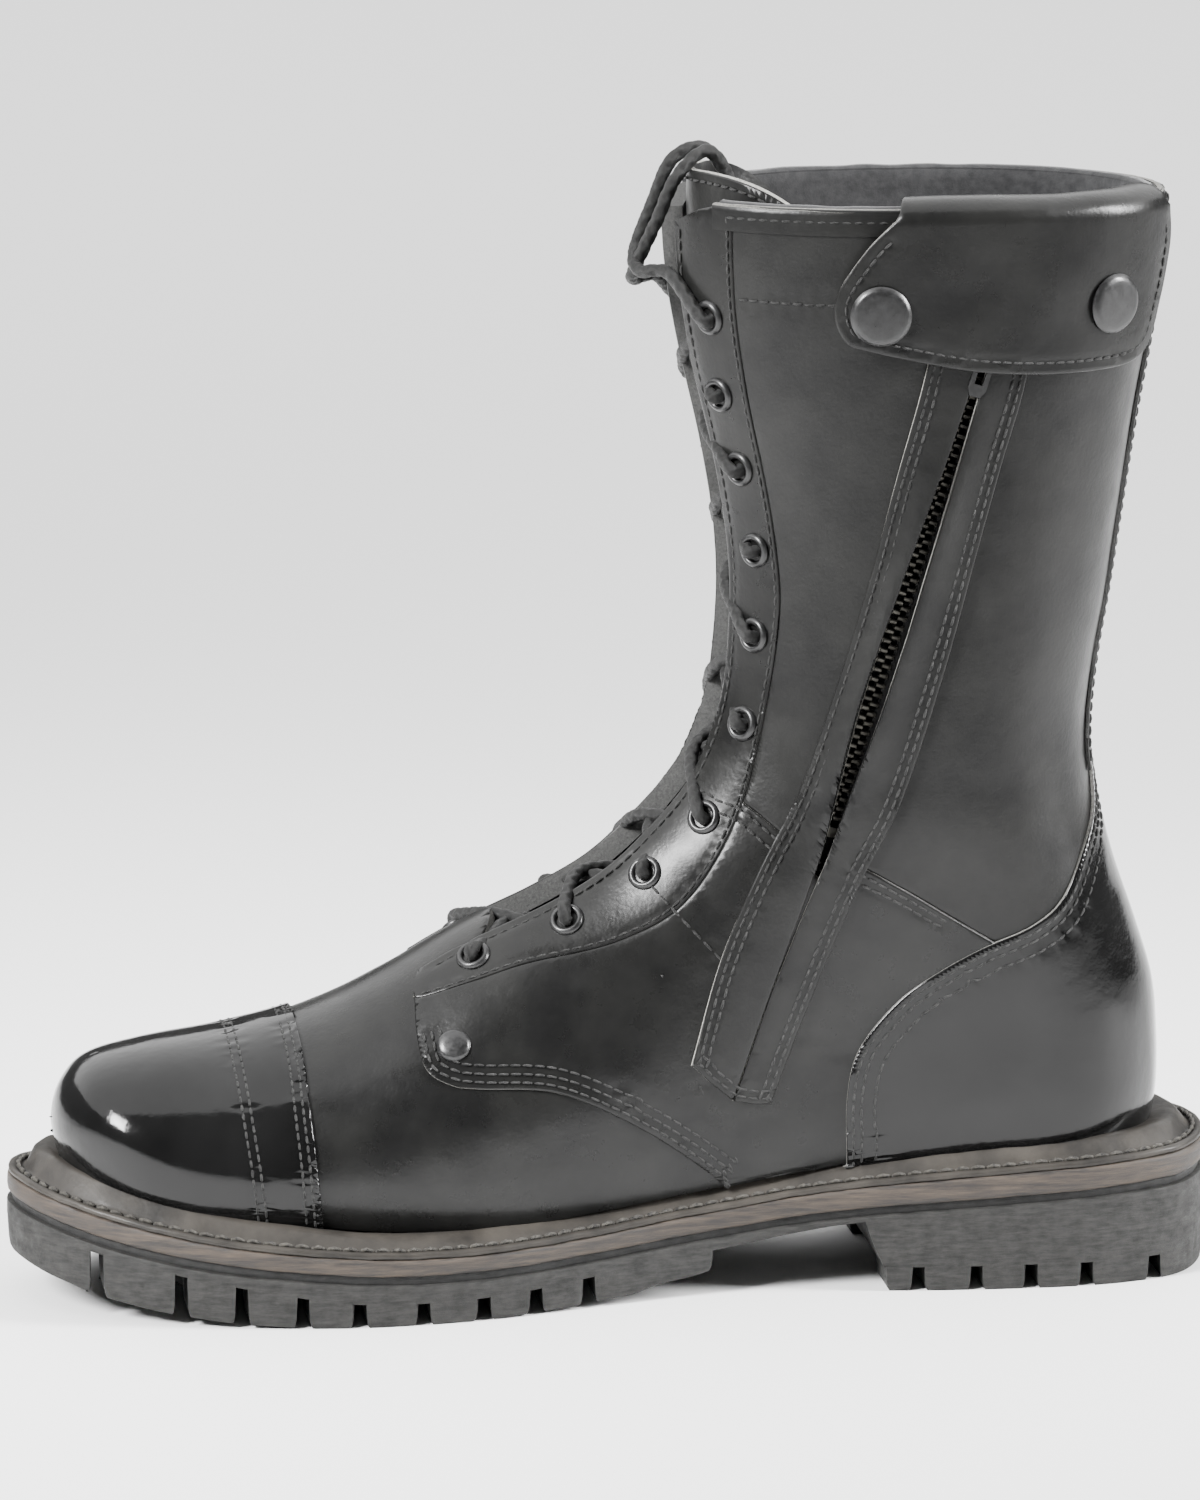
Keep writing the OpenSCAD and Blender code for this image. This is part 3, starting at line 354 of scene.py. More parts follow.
def inside_polygon(points, poly):
    x, y = points[:, 0], points[:, 1]
    inside = np.zeros(len(points), bool)
    a, b = poly, np.roll(poly, -1, axis=0)
    for (ax, ay), (bx, by) in zip(a, b):
        if ay == by:
            continue
        hit = ((ay > y) != (by > y)) & (x < (bx - ax) * (y - ay) / (by - ay) + ax)
        inside ^= hit
    return inside


# Millimetres that one row and one degree of turn stand for on a panel laid flat
ROW_LENGTH, TURN_LENGTH = 11.0, 0.75
# The rounded edge of a panel: rings at distances inside the outline, and how far each drops
EDGE_RINGS = ((0.0, 0.45), (0.22, 0.16), (0.55, 0.03))
FIELD_RING = len(EDGE_RINGS)
DIP_DEPTH, DIP_WIDTH = 0.28, 0.9
SAME_POINT, PROBE = 0.02, 0.3
EDGE_GAP, LINE_GAP, GRID_GAP = 0.8, 0.55, 0.85


def nearest(points, places):
    """How far each place lies from the nearest of the points."""
    tree = kdtree.KDTree(len(points))
    for i, p in enumerate(points):
        tree.insert(p, i)
    tree.balance()
    return np.array([tree.find(p)[2] for p in places])


def flat_3d(points):
    return np.column_stack([points, np.zeros(len(points))])


def well_apart(points, taken, gap):
    """Which points of a flat sheet stand clear of the taken ones and of each other."""
    cells, ok = {}, np.zeros(len(points), bool)

    def cell(p):
        return int(p[0] // gap), int(p[1] // gap)

    for p in taken:
        cells.setdefault(cell(p), []).append(p)
    for i, p in enumerate(points):
        cx, cy = cell(p)
        close = [q for dx in (-1, 0, 1) for dy in (-1, 0, 1) for q in cells.get((cx + dx, cy + dy), ())]
        if all((p[0] - q[0])**2 + (p[1] - q[1])**2 > gap * gap for q in close):
            ok[i] = True
            cells.setdefault((cx, cy), []).append(p)
    return ok


def triangular_grid(low, high, spacing):
    """Points of a grid of equal triangles over a rectangle."""
    row = spacing * math.sqrt(0.75)
    return np.array([(low[0] + spacing * (i + 0.5 * (j % 2)), low[1] + row * j)
                     for j in range(int((high[1] - low[1]) / row) + 1)
                     for i in range(int((high[0] - low[0]) / spacing) + 1)])


def panel_points(outline, flat, shape, spacing, lines, scale):
    """Places over a panel and the edge ring of each: outline, edge rings, stitch rows, then a grid."""
    places = [outline]
    # Left of the outline, seen from outside, is inside it or not as the surface's own turn says
    probe = shifted(outline, PROBE, shape, closed=True) * scale
    left = 1 if inside_polygon(probe, flat).mean() > 0.5 else -1
    for distance, _drop in EDGE_RINGS[1:]:
        q = shifted(outline, left * distance, shape, closed=True)
        places.append(q[inside_polygon(q * scale, flat)])
    grid = triangular_grid(flat.min(0), flat.max(0), spacing)
    grid = grid[inside_polygon(grid, flat)]
    grid = grid[nearest(flat_3d(flat), flat_3d(grid)) > EDGE_GAP]
    extra = np.empty((0, 2))
    if lines:
        extra = np.vstack(lines) * scale
        extra = extra[inside_polygon(extra, flat)]
        extra = extra[well_apart(extra, np.vstack(places) * scale, LINE_GAP)]
        grid = grid[well_apart(grid, extra, GRID_GAP)]
    places += [extra / scale, grid / scale]
    kinds = list(range(FIELD_RING)) + [FIELD_RING] * 2
    return np.vstack(places), np.repeat(kinds, [len(p) for p in places])


def panel(name, outline, out, inner, leather, edge, shape=upper, spacing=1.7, lines=(), swell=None,
          scale=(ROW_LENGTH, TURN_LENGTH)):
    """A sheet cut to an outline on a surface, with rounded raw edges.

    out and inner are the offsets of its faces, lines the stitch rows that dip it, and swell(points)
    adds to its outer face.
    """
    outline = np.array(outline, float)
    if np.allclose(outline[0], outline[-1]):
        outline = outline[:-1]
    flat = outline * scale
    keep = np.linalg.norm(flat - np.roll(flat, 1, axis=0), axis=1) > SAME_POINT
    outline, flat = outline[keep], flat[keep]
    if turns_left(flat) < 0:
        outline, flat = outline[::-1], flat[::-1]
    places, ring_of = panel_points(outline, flat, shape, spacing, lines, scale)
    n = len(outline)
    vecs, _e, tris, origin, _oe, _of = delaunay_2d_cdt(
        [Vector(p) for p in (places * scale)], [(i, (i + 1) % n) for i in range(n)], [], 0, 1e-4)
    pts, tris = np.array([tuple(v) for v in vecs]), np.array(tris)
    source = np.array([o[0] if o else -1 for o in origin])
    tris = tris[inside_polygon(pts[tris].mean(1), flat)]
    used = np.unique(tris)
    index = np.full(len(pts), -1)
    index[used] = np.arange(len(used))
    tris, pts, source = index[tris], pts[used], source[used]
    uv = np.where(source[:, None] >= 0, places[source], pts / scale)
    ring = np.where(source >= 0, ring_of[source], FIELD_RING)
    drop = np.array([d for _inset, d in EDGE_RINGS] + [0.0])[ring]
    top = shape(uv, out - drop)
    lift = np.zeros(len(uv))
    if lines:
        away = nearest(np.vstack([shape(q, out) for q in lines]), top)
        lift += -DIP_DEPTH * np.exp(-(away / DIP_WIDTH)**2)
    if swell is not None:
        lift += swell(top) * np.where(ring == 0, 0.3, 1)
    top, bottom = shape(uv, out - drop + lift), shape(uv, inner)
    p = top[tris]
    facing = np.cross(p[:, 1] - p[:, 0], p[:, 2] - p[:, 0])
    outward = (shape(uv, 1.0) - shape(uv, 0.0))[tris].mean(1)
    if (facing * outward).sum(1).mean() < 0:
        tris = tris[:, ::-1]
    m = len(uv)
    tris = [tuple(t) for t in tris.tolist()]
    edges = dict.fromkeys(e for a, b, c in tris for e in ((a, b), (b, c), (c, a)))
    border = [(a, b) for a, b in edges if (b, a) not in edges]
    faces = tris + [(m + c, m + b, m + a) for a, b, c in tris] + [(b, a, m + a, m + b) for a, b in border]
    indices = [0] * (2 * len(tris)) + [1] * len(border)
    return add_mesh(name, np.vstack([top, bottom]), faces, [leather, edge], indices, sharp=50)


def loft(rings):
    """Vertices and faces of a closed form over rings with equal numbers of points."""
    n, m = len(rings), len(rings[0])
    faces = [(i * m + k, i * m + (k + 1) % m, (i + 1) * m + (k + 1) % m, (i + 1) * m + k)
             for i in range(n - 1) for k in range(m)]
    faces += [tuple(range(m))[::-1], tuple((n - 1) * m + k for k in range(m))]
    return np.vstack(rings), faces


def tube(path, radii, sides):
    """Vertices and faces of a tube along 3D points; a point has one radius, or one for each side."""
    p = np.array(path, float)
    t = np.gradient(p, axis=0)
    t /= np.linalg.norm(t, axis=1, keepdims=True)
    a = np.cross(t[0], (0.31, 0.17, 0.93))
    w = np.arange(sides) * 2 * math.pi / sides
    rings = []
    for i in range(len(p)):
        a = a - t[i] * (a @ t[i])
        a /= np.linalg.norm(a)
        round_it = np.cos(w)[:, None] * a + np.sin(w)[:, None] * np.cross(t[i], a)
        rings.append(p[i] + np.reshape(radii[i], (-1, 1)) * round_it)
    return loft(rings)


class Group:
    """Collects many small meshes into one piece."""

    def __init__(self):
        self.verts, self.faces, self.count = [], [], 0

    def add(self, verts, faces):
        self.verts.append(verts)
        self.faces += [tuple(i + self.count for i in f) for f in faces]
        self.count += len(verts)

    def mesh(self):
        return np.vstack(self.verts), self.faces


def flip_out(obj):
    bm = bmesh.new()
    bm.from_mesh(obj.data)
    bmesh.ops.recalc_face_normals(bm, faces=bm.faces)
    bm.to_mesh(obj.data)
    bm.free()


def solid(name, mesh, material, slot, *nodes, sharp=None, body="root", flip=True):
    """A piece of one material, made from its vertices and faces."""
    obj = add_mesh(name, *mesh, [material], sharp=sharp)
    if flip:
        flip_out(obj)
    return register(obj, slot, *nodes, body=body)


PITCH, THREAD_R = 3.1, 0.36
# One stitch: where its points lie along it, how far each rises, and how thick it is there
STITCH_AT = np.array([0, 0.12, 0.5, 0.88, 1])
STITCH_RISE = np.array([-0.3, 0.0, 1, 0.0, -0.3])
STITCH_TAPER = np.array([0.45, 0.9, 1.05, 0.9, 0.45])


def stitch(group, path3, normals, pitch=PITCH, radius=THREAD_R, lift=0.12, duty=0.8):
    """Thread stitches along a 3D polyline, each sinking into the leather at its ends."""
    d = np.linalg.norm(np.diff(path3, axis=0), axis=1)
    s = np.concatenate([[0], np.cumsum(d)])
    count = max(1, int(round(s[-1] / pitch)))
    step = s[-1] / count
    for k in range(count):
        a = step * (k + 0.5 - duty / 2)
        at = a + duty * step * STITCH_AT
        p, n = [np.stack([np.interp(at, s, v[:, c]) for c in range(3)], axis=1) for v in (path3, normals)]
        p = p + n * STITCH_RISE[:, None] * lift * (0.8 + 0.4 * rng.random())
        group.add(*tube(p, radius * STITCH_TAPER, 6))


def sew(group, rows, offset, shape=upper, **options):
    """Rows of stitches along paths on a surface."""
    for path in rows:
        p = shape(path, offset)
        stitch(group, p, shape(path, offset + 1.0) - p, **options)


def lathe(profile, place, normal, sides):
    """Vertices and faces of a profile (radius, height) turned round a place's normal."""
    n = np.array(normal) / np.linalg.norm(normal)
    a = np.cross(n, (0.2, 0.1, 0.97))
    a /= np.linalg.norm(a)
    b = np.cross(n, a)
    verts, faces, rows = [], [], []
    for r, h in profile:
        count = sides if r else 1
        rows.append(range(len(verts), len(verts) + count))
        for w in [2 * math.pi * k / sides for k in range(count)]:
            verts.append(place + h * n + r * (math.cos(w) * a + math.sin(w) * b))
    for p, q in zip(rows[:-1], rows[1:]):
        for i in range(sides):
            j = (i + 1) % sides
            if len(p) == 1:
                faces.append((p[0], q[j], q[i]))
            elif len(q) == 1:
                faces.append((p[i], p[j], q[0]))
            else:
                faces.append((p[i], p[j], q[j], q[i]))
    return np.array(verts), faces


# ---- materials ----------------------------------------------------------------------------------
def new_material(name, colour, roughness, metallic=0.0, coat=0.0, coat_roughness=0.1, sheen=0.0,
                 specular=0.5):
    mat = bpy.data.materials.new(name)
    mat.use_nodes = True
    shader = mat.node_tree.nodes["Principled BSDF"]
    for socket, value in (("Base Color", (*colour, 1)), ("Roughness", roughness), ("Metallic", metallic),
                          ("Coat Weight", coat), ("Coat Roughness", coat_roughness),
                          ("Sheen Weight", sheen), ("Sheen Roughness", 0.4),
                          ("Specular IOR Level", specular)):
        shader.inputs[socket].default_value = value
    mat.diffuse_color = (*colour, 1)
    return mat, shader


def node(mat, kind, **values):
    n = mat.node_tree.nodes.new(kind)
    for key, value in values.items():
        if hasattr(n, key):
            setattr(n, key, value)
        else:
            n.inputs[key.replace("_", " ")].default_value = value
    return n


def link(mat, a, b):
    mat.node_tree.links.new(a, b)


def place_node(mat, stretch=(1, 1, 1), turn=(0, 0, 0)):
    """Object coordinates in metres, stretched for grain with a direction."""
    coord = node(mat, "ShaderNodeTexCoord")
    mapping = node(mat, "ShaderNodeMapping", Scale=stretch, Rotation=turn)
    link(mat, coord.outputs["Object"], mapping.inputs["Vector"])
    return mapping.outputs["Vector"]


def noise_node(mat, vector, scale, detail=4.0, roughness=0.6):
    n = node(mat, "ShaderNodeTexNoise", Scale=scale, Detail=detail, Roughness=roughness)
    link(mat, vector, n.inputs["Vector"])
    return n.outputs["Fac"]


def blend_colours(mat, shader, factor, dark, light, low=0.35, high=0.65):
    ramp = node(mat, "ShaderNodeValToRGB")
    for stop, position, colour in zip(ramp.color_ramp.elements, (low, high), (dark, light)):
        stop.position, stop.color = position, (*colour, 1)
    link(mat, factor, ramp.inputs["Fac"])
    link(mat, ramp.outputs["Color"], shader.inputs["Base Color"])


def range_roughness(mat, shader, factor, low, high):
    r = node(mat, "ShaderNodeMapRange", From_Min=0.3, From_Max=0.7, To_Min=low, To_Max=high)
    link(mat, factor, r.inputs["Value"])
    link(mat, r.outputs["Result"], shader.inputs["Roughness"])


def bump(mat, shader, *layers):
    """Layers of (height socket, strength, distance in metres), one over the other."""
    normal = None
    for height, strength, distance in layers:
        b = node(mat, "ShaderNodeBump", Strength=strength, Distance=distance)
        link(mat, height, b.inputs["Height"])
        if normal is not None:
            link(mat, normal, b.inputs["Normal"])
        normal = b.outputs["Normal"]
    link(mat, normal, shader.inputs["Normal"])


def leather(name, dark, light, rough, coat, grain, coat_roughness=0.12):
    mat, shader = new_material(name, light, sum(rough) / 2, coat=coat, coat_roughness=coat_roughness,
                               specular=0.2)
    v = place_node(mat)
    cells = node(mat, "ShaderNodeTexVoronoi", Scale=1100.0, feature="SMOOTH_F1")
    link(mat, v, cells.inputs["Vector"])
    fine = noise_node(mat, v, 2600, 3)
    wide = noise_node(mat, v, 45, 5)
    blend_colours(mat, shader, wide, dark, light)
    range_roughness(mat, shader, noise_node(mat, v, 120, 5), *rough)
    bump(mat, shader, (wide, 0.5, 0.0009), (cells.outputs["Distance"], grain, 0.00012),
         (fine, grain, 0.00006))
    return mat


def rough_edge(name, dark, light):
    mat, shader = new_material(name, light, 0.85)
    v = place_node(mat)
    fibres = noise_node(mat, v, 1500, 6, 0.8)
    blend_colours(mat, shader, fibres, dark, light)
    bump(mat, shader, (fibres, 0.8, 0.0004))
    return mat


def rubber(name, dark, light, dust):
    mat, shader = new_material(name, dark, 0.7, specular=0.35)
    v = place_node(mat)
    along = place_node(mat, (1, 1, 6))
    scuff = noise_node(mat, along, 160, 8, 0.75)
    blend_colours(mat, shader, scuff, dark, light, 0.4, 0.8)
    range_roughness(mat, shader, noise_node(mat, v, 300, 4), 0.55, 0.85)
    bump(mat, shader, (noise_node(mat, v, 900, 6, 0.7), dust, 0.0003), (scuff, 0.3, 0.0004))
    return mat


def stacked(name):
    """Layered midsole: brown streaks that run along the sole."""
    mat, shader = new_material(name, (0.06, 0.045, 0.035), 0.6, specular=0.4)
    along = place_node(mat, (1, 1, 14))
    streak = noise_node(mat, along, 70, 9, 0.75)
    blend_colours(mat, shader, streak, (0.014, 0.012, 0.011), (0.075, 0.056, 0.041), 0.4, 0.72)
    range_roughness(mat, shader, streak, 0.45, 0.75)
    bump(mat, shader, (streak, 0.5, 0.0004))
    return mat


def cloth(name, dark, light, scale, sheen=0.3):
    mat, shader = new_material(name, dark, 0.9, sheen=sheen)
    v = place_node(mat)
    a = node(mat, "ShaderNodeTexWave", Scale=scale, bands_direction="Z")
    b = node(mat, "ShaderNodeTexWave", Scale=scale, bands_direction="X")
    for wave in (a, b):
        link(mat, v, wave.inputs["Vector"])
    both = node(mat, "ShaderNodeMath", operation="MULTIPLY")
    link(mat, a.outputs["Fac"], both.inputs[0])
    link(mat, b.outputs["Fac"], both.inputs[1])
    blend_colours(mat, shader, noise_node(mat, v, 400, 5), dark, light)
    bump(mat, shader, (both.outputs["Value"], 0.2, 0.0002), (noise_node(mat, v, 1800, 4), 0.4, 0.0002))
    return mat


def metal(name, dark, light, roughness, metallic, coat=0.0):
    mat, shader = new_material(name, light, roughness, metallic=metallic, coat=coat)
    v = place_node(mat)
    worn = noise_node(mat, v, 350, 6, 0.7)
    blend_colours(mat, shader, worn, dark, light)
    range_roughness(mat, shader, noise_node(mat, v, 700, 4), roughness * 0.75, roughness * 1.3)
    bump(mat, shader, (noise_node(mat, v, 1500, 4), 0.15, 0.0001))
    return mat


def twisted(name, dark, light, scale=1500.0):
    """Thread and cord: fine strands and a little sheen."""
    mat, shader = new_material(name, dark, 0.6, sheen=0.06, specular=0.3)
    v = place_node(mat, (1, 1, 1), (0.6, 0.5, 0.3))
    strand = node(mat, "ShaderNodeTexWave", Scale=scale, Distortion=3.0)
    link(mat, v, strand.inputs["Vector"])
    blend_colours(mat, shader, noise_node(mat, v, 900, 4), dark, light)
    bump(mat, shader, (strand.outputs["Fac"], 0.5, 0.0002))
    return mat


def grey(dark, light):
    return (dark,) * 3, (light,) * 3


GLOSS = leather("gloss_leather", *grey(0.003, 0.006), (0.10, 0.17), 0.25, 0.05, coat_roughness=0.06)
MATTE = leather("matte_leather", (0.005, 0.005, 0.005), (0.010, 0.010, 0.0095), (0.24, 0.36), 0.14, 0.25,
                coat_roughness=0.25)
SOFT = leather("soft_leather", (0.006, 0.006, 0.006), (0.012, 0.012, 0.0115), (0.28, 0.40), 0.1, 0.32,
               coat_roughness=0.32)
WELT = leather("welt_leather", (0.012, 0.011, 0.010), (0.045, 0.040, 0.034), (0.45, 0.65), 0.1, 0.4)
RAW_EDGE = rough_edge("raw_edge", (0.05, 0.05, 0.046), (0.22, 0.215, 0.2))
BRIGHT_EDGE = rough_edge("bright_edge", (0.10, 0.10, 0.092), (0.42, 0.41, 0.38))
DARK_EDGE = rough_edge("dark_edge", (0.012, 0.012, 0.012), (0.05, 0.05, 0.048))
RUBBER = rubber("sole_rubber", (0.008, 0.008, 0.0075), (0.034, 0.033, 0.031), 0.35)
CHANNEL = rubber("channel_rubber", (0.006, 0.006, 0.006), (0.022, 0.022, 0.021), 0.2)
MIDSOLE_MAT = stacked("midsole")
LINING_MAT = cloth("lining_fabric", (0.006, 0.006, 0.007), (0.02, 0.02, 0.021), 1100.0)
TAPE_MAT = cloth("zip_tape", *grey(0.008, 0.02), 1600.0)
THREAD = twisted("thread", (0.006, 0.006, 0.006), (0.026, 0.026, 0.025))
WELT_THREAD = twisted("welt_thread", (0.012, 0.011, 0.01), (0.07, 0.065, 0.055), 900.0)
CORD = twisted("lace_cord", (0.004, 0.004, 0.004), (0.014, 0.014, 0.0135), 1300.0)
BLACK_METAL = metal("black_metal", (0.010, 0.010, 0.010), (0.020, 0.020, 0.0205), 0.36, 0.3, coat=0.25)
SNAP_METAL = metal("snap_metal", (0.32, 0.32, 0.33), (0.5, 0.5, 0.51), 0.3, 1.0)
ZIP_METAL = metal("zip_metal", (0.05, 0.048, 0.043), (0.13, 0.125, 0.11), 0.4, 1.0)
AGLET = metal("aglet_plastic", *grey(0.008, 0.02), 0.25, 0.0, coat=0.4)
STEEL = metal("shank_steel", (0.4, 0.4, 0.41), (0.55, 0.55, 0.56), 0.35, 1.0)
BOARD = rough_edge("stiffener_board", (0.25, 0.2, 0.13), (0.42, 0.35, 0.25))
CORK = rough_edge("cork", (0.25, 0.15, 0.08), (0.5, 0.34, 0.19))


# ---- seam lines of the upper, in the side view --------------------------------------------------
COLLAR_TOP = 281.5
EYESTAY = [(-53, 78), (-49, 78.5), (-26, 86), (0, 92.5), (18, 104), (32, 130), (40, 170), (39, 196),
           (31, 237), (28, 258), (27, 283)]
FLEX_SEAM = [(22, 131), (32, 127), (45, 117), (58, 113), (71, 106), (84, 98), (97, 90), (112, 81)]
QUARTER = [(-52.5, 79), (-53, 70), (-51.2, 62.5), (-45, 59), (-38, 58), (-18, 56), (4, 45), (23, 31),
           (28, 24)]
COUNTER = [(128, 138), (124, 123), (119, 112), (113, 101), (105, 95), (93, 90), (82, 84), (71, 76),
           (61, 63), (58, 49), (58.5, 30)]
UNDER_COUNTER = [(66, 30), (67, 50), (75, 68), (90, 82), (104, 87)]
CAP_EDGE = [(-83, 76), (-81.5, 64), (-81, 53), (-80, 40), (-78, 18)]
TOE_ROWS = [(-99.5, 72), (-98, 60), (-96.5, 47), (-93, 20)]
GUARD_FRONT = [(79, 262), (74, 237), (68, 213), (62, 187), (54, 158), (45, 131), (35, 111), (25, 88),
               (17, 61)]
GUARD_REAR = [(38, 49.5), (48, 77), (60, 108), (70, 129), (80, 161), (88, 192), (94, 215), (100, 237),
              (104, 262)]
GUARD_TOP = 262
ZIP_TOP, ZIP_END = (97, 268), (51.1, 115)
SEAM_END = (28, 51)
SLOT_HALF = 7.5


def zip_x(z):
    return ZIP_END[0] + (z - ZIP_END[1]) * (ZIP_TOP[0] - ZIP_END[0]) / (ZIP_TOP[1] - ZIP_END[1])


def part(curve, a, b):
    """The stretch of a side-view curve between the places nearest to a and b."""
    c = resample(smooth(curve, 8), 0.5)
    i, j = [int(np.argmin(((c - np.array(p))**2).sum(1))) for p in (a, b)]
    return c[i:j + 1] if i < j else c[j:i + 1][::-1]


def joined(side, *stretches):
    """One closed outline on a side from side-view stretches."""
    return np.vstack([locate(resample(s, 1.1), side) for s in stretches])


def level(z, x0, x1):
    return np.array([(x0, z), (x1, z)], float)


def at_feather(x0, x1):
    xs = np.linspace(x0, x1, max(3, int(abs(x1 - x0) / 2)))
    return np.stack([xs, feather(xs)], axis=1)


FLEX_START, FLEX_BEHIND = (31.6, 127.3), (105, 86)
SLOT_LOW = ((43.6, 117.6), (43.6, 115.0), (51.1, 107.5), (56.8, 113.2))


def waves(points, size, depth):
    return np.array([noise.noise(Vector(p) / size) * depth for p in points])


def crease(points):
    """Soft hand of the leather: slow waves and shallow folds where the boot bends."""
    x, z = points[:, 0], points[:, 2]
    flex = np.exp(-(((x + 42) / 26)**2)) * np.exp(-(((z - 60) / 30)**2))
    fold = np.sin((x + 0.35 * z + waves(points, 20, 6)) / 3.1) * 0.10 * flex
    ankle = np.exp(-(((z - 118) / 20)**2))
    bend = np.sin((z + 0.3 * x + waves(points, 26, 9)) / 4.4) * 0.14 * ankle
    return waves(points, 38, 0.35) + waves(points, 14, 0.10) + fold + bend


def toe_polish(points):
    return waves(points, 30, 0.18)


def both_sides(curve, gap=1.2):
    """A side-view curve carried over the front ridge: from the medial edge to the lateral one."""
    medial, lateral = trace(curve, -1, gap), trace(curve, 1, gap)
    medial[0, 1] = lateral[0, 1] = 0
    return np.vstack([medial[::-1], lateral[1:]])


threads = Group()


# ---- toe cap and vamp ---------------------------------------------------------------------------
def along_base(a, b, turn):
    return line((a, turn), (b, turn), max(3, int(abs(a - b) * 8)))


def make_toe_cap():
    edge = both_sides(CAP_EDGE)
    k = len(edge) // 2
    forward = 1 if upper(shifted(edge, 1.9))[k, 0] <= upper(edge)[k, 0] else -1
    rows = [shifted(edge, forward * d) for d in (1.9, 4.0)]
    middle = both_sides(TOE_ROWS)
    rows += [shifted(middle, d) for d in (-1.05, 1.05)]
    outline = np.vstack([edge, along_base(edge[-1, 0], 0, -180), line((0, -180), (0, 180), 80),
                         along_base(0, edge[0, 0], 180)])
    cap = panel("toe_cap", outline, 0.7, -1.3, GLOSS, RAW_EDGE, lines=rows, swell=toe_polish)
    register(cap, "gloss_leather", "toe_cap")
    sew(threads, rows, 0.5, pitch=2.5)


def make_vamp():
    front = both_sides([(x - 4, z) for x, z in CAP_EDGE])
    rear = both_sides([(-30, 98), (-38, 84), (-30, 73), (-10, 59), (14, 47), (30, 34), (36, 20)])
    outline = np.vstack([front, along_base(front[-1, 0], rear[-1, 0], -180), rear[::-1],
                         along_base(rear[0, 0], front[0, 0], 180)])
    vamp = panel("vamp", outline, -0.35, -3.2, MATTE, RAW_EDGE, swell=crease)
    register(vamp, "gloss_leather", "vamp", "vamp_lining", "toe_puff")


make_toe_cap()
make_vamp()


# ---- quarters, shaft and facings ----------------------------------------------------------------
SIDES = {"medial": -1, "lateral": 1}
QUARTER_OUT, FACING_OUT, SHAFT_OUT = 0.5, 0.25, 0.0


def flex_line(side):
    """The flex seam from behind the counter to the facing, round the foot of the zip slot."""
    if side > 0:
        return part(FLEX_SEAM, FLEX_BEHIND, FLEX_START)
    return np.vstack([part(FLEX_SEAM, FLEX_BEHIND, SLOT_LOW[3]), resample(SLOT_LOW[::-1], 1),
                      part(FLEX_SEAM, SLOT_LOW[0], FLEX_START)])


def rows_inside(path, distances, goal):
    """Rows parallel to a path on the side of it where a 3D point lies."""
    k = len(path) // 2
    trial, base = upper(shifted(path, 1.0))[k], upper(path)[k]
    sign = -1 if np.linalg.norm(trial - goal) > np.linalg.norm(base - goal) else 1
    return [shifted(path, sign * d) for d in distances]


def on_upper(x, z, side):
    return upper(locate([(x, z)], side))[0]


def make_quarter(name, side):
    edge = part(QUARTER, QUARTER[0], QUARTER[-1])
    stay = part(EYESTAY, FLEX_START, EYESTAY[0])
    outline = joined(side, edge, at_feather(28, 66), resample(smooth(UNDER_COUNTER), 1),
                     flex_line(side), stay)
    rows = rows_inside(trace(QUARTER[1:], side), (1.7, 3.8, 6.0), on_upper(10, 70, side))
    rows += rows_inside(trace(FLEX_SEAM[:-2], side), (1.8, 3.9), on_upper(60, 60, side))
    plain = trace([(8, 106), (25, 88), (40, 74), (58, 61)], side)
    piece = panel("quarter_" + name, outline, QUARTER_OUT, -1.6, MATTE, RAW_EDGE, lines=rows + [plain],
                  swell=crease)
    register(piece, "matte_leather", "quarter_" + name)
    sew(threads, rows, QUARTER_OUT - 0.2)
    # On the medial side the front guard covers the rest of this row
    sew(threads, [plain if side > 0 else plain[:26]], QUARTER_OUT - 0.2, pitch=4.2)


def make_shaft(name, side, rows, *stretches):
    piece = panel(name, joined(side, *stretches), SHAFT_OUT, -1.9, SOFT, RAW_EDGE, lines=rows,
                  swell=crease)
    register(piece, "matte_leather", name)
    sew(threads, rows, SHAFT_OUT - 0.2)


def make_shafts():
    stay = part(EYESTAY, FLEX_START, EYESTAY[-1])
    stay = stay[stay[:, 1] < COLLAR_TOP]
    low_back = np.array([(131, 108), (128, 100)])
    back = part(BACK[:, :2], (143, 281), (131, 108))
    band, far_band = [trace([(29, 257.5), (60, 257), (100, 257.5), (130, 258)], side) for side in (-1, 1)]
    left, right = zip_x(COLLAR_TOP) - SLOT_HALF, zip_x(COLLAR_TOP) + SLOT_HALF
    make_shaft("shaft_medial_front", -1, [band[:28]], stay, level(COLLAR_TOP, 27, left),
               np.array([(left, COLLAR_TOP), SLOT_LOW[1], SLOT_LOW[0]]),
               part(FLEX_SEAM, SLOT_LOW[0], FLEX_START))
    make_shaft("shaft_medial_rear", -1, [], level(COLLAR_TOP, right, 150), back, low_back,
               part(FLEX_SEAM, FLEX_BEHIND, SLOT_LOW[3]),
               np.array([(57, 113.2), (58.6, 115), (right, COLLAR_TOP)]))
    make_shaft("shaft_lateral", 1, [far_band], stay, level(COLLAR_TOP, 27, 150), back, low_back,
               flex_line(1))


FACING_EDGE = 12.5


def ridge(z0, z1):
    """The front ridge between two heights of the profile, from the throat up."""
    keep = (FRONT[:, 1] >= z0) & (FRONT[:, 1] <= z1) & (FRONT[:, 0] > -60)
    path = locate(resample(FRONT[keep, :2], 1.5), -1)
    path[:, 1] = 0
    return path


def beside_ridge(z0, z1, distance, side):
    path = ridge(z0, z1)
    moved = shifted(path, distance, steps=8)
    if np.sign(moved[len(path) // 2, 1]) != -side:
        moved = shifted(path, -distance, steps=8)
    return moved


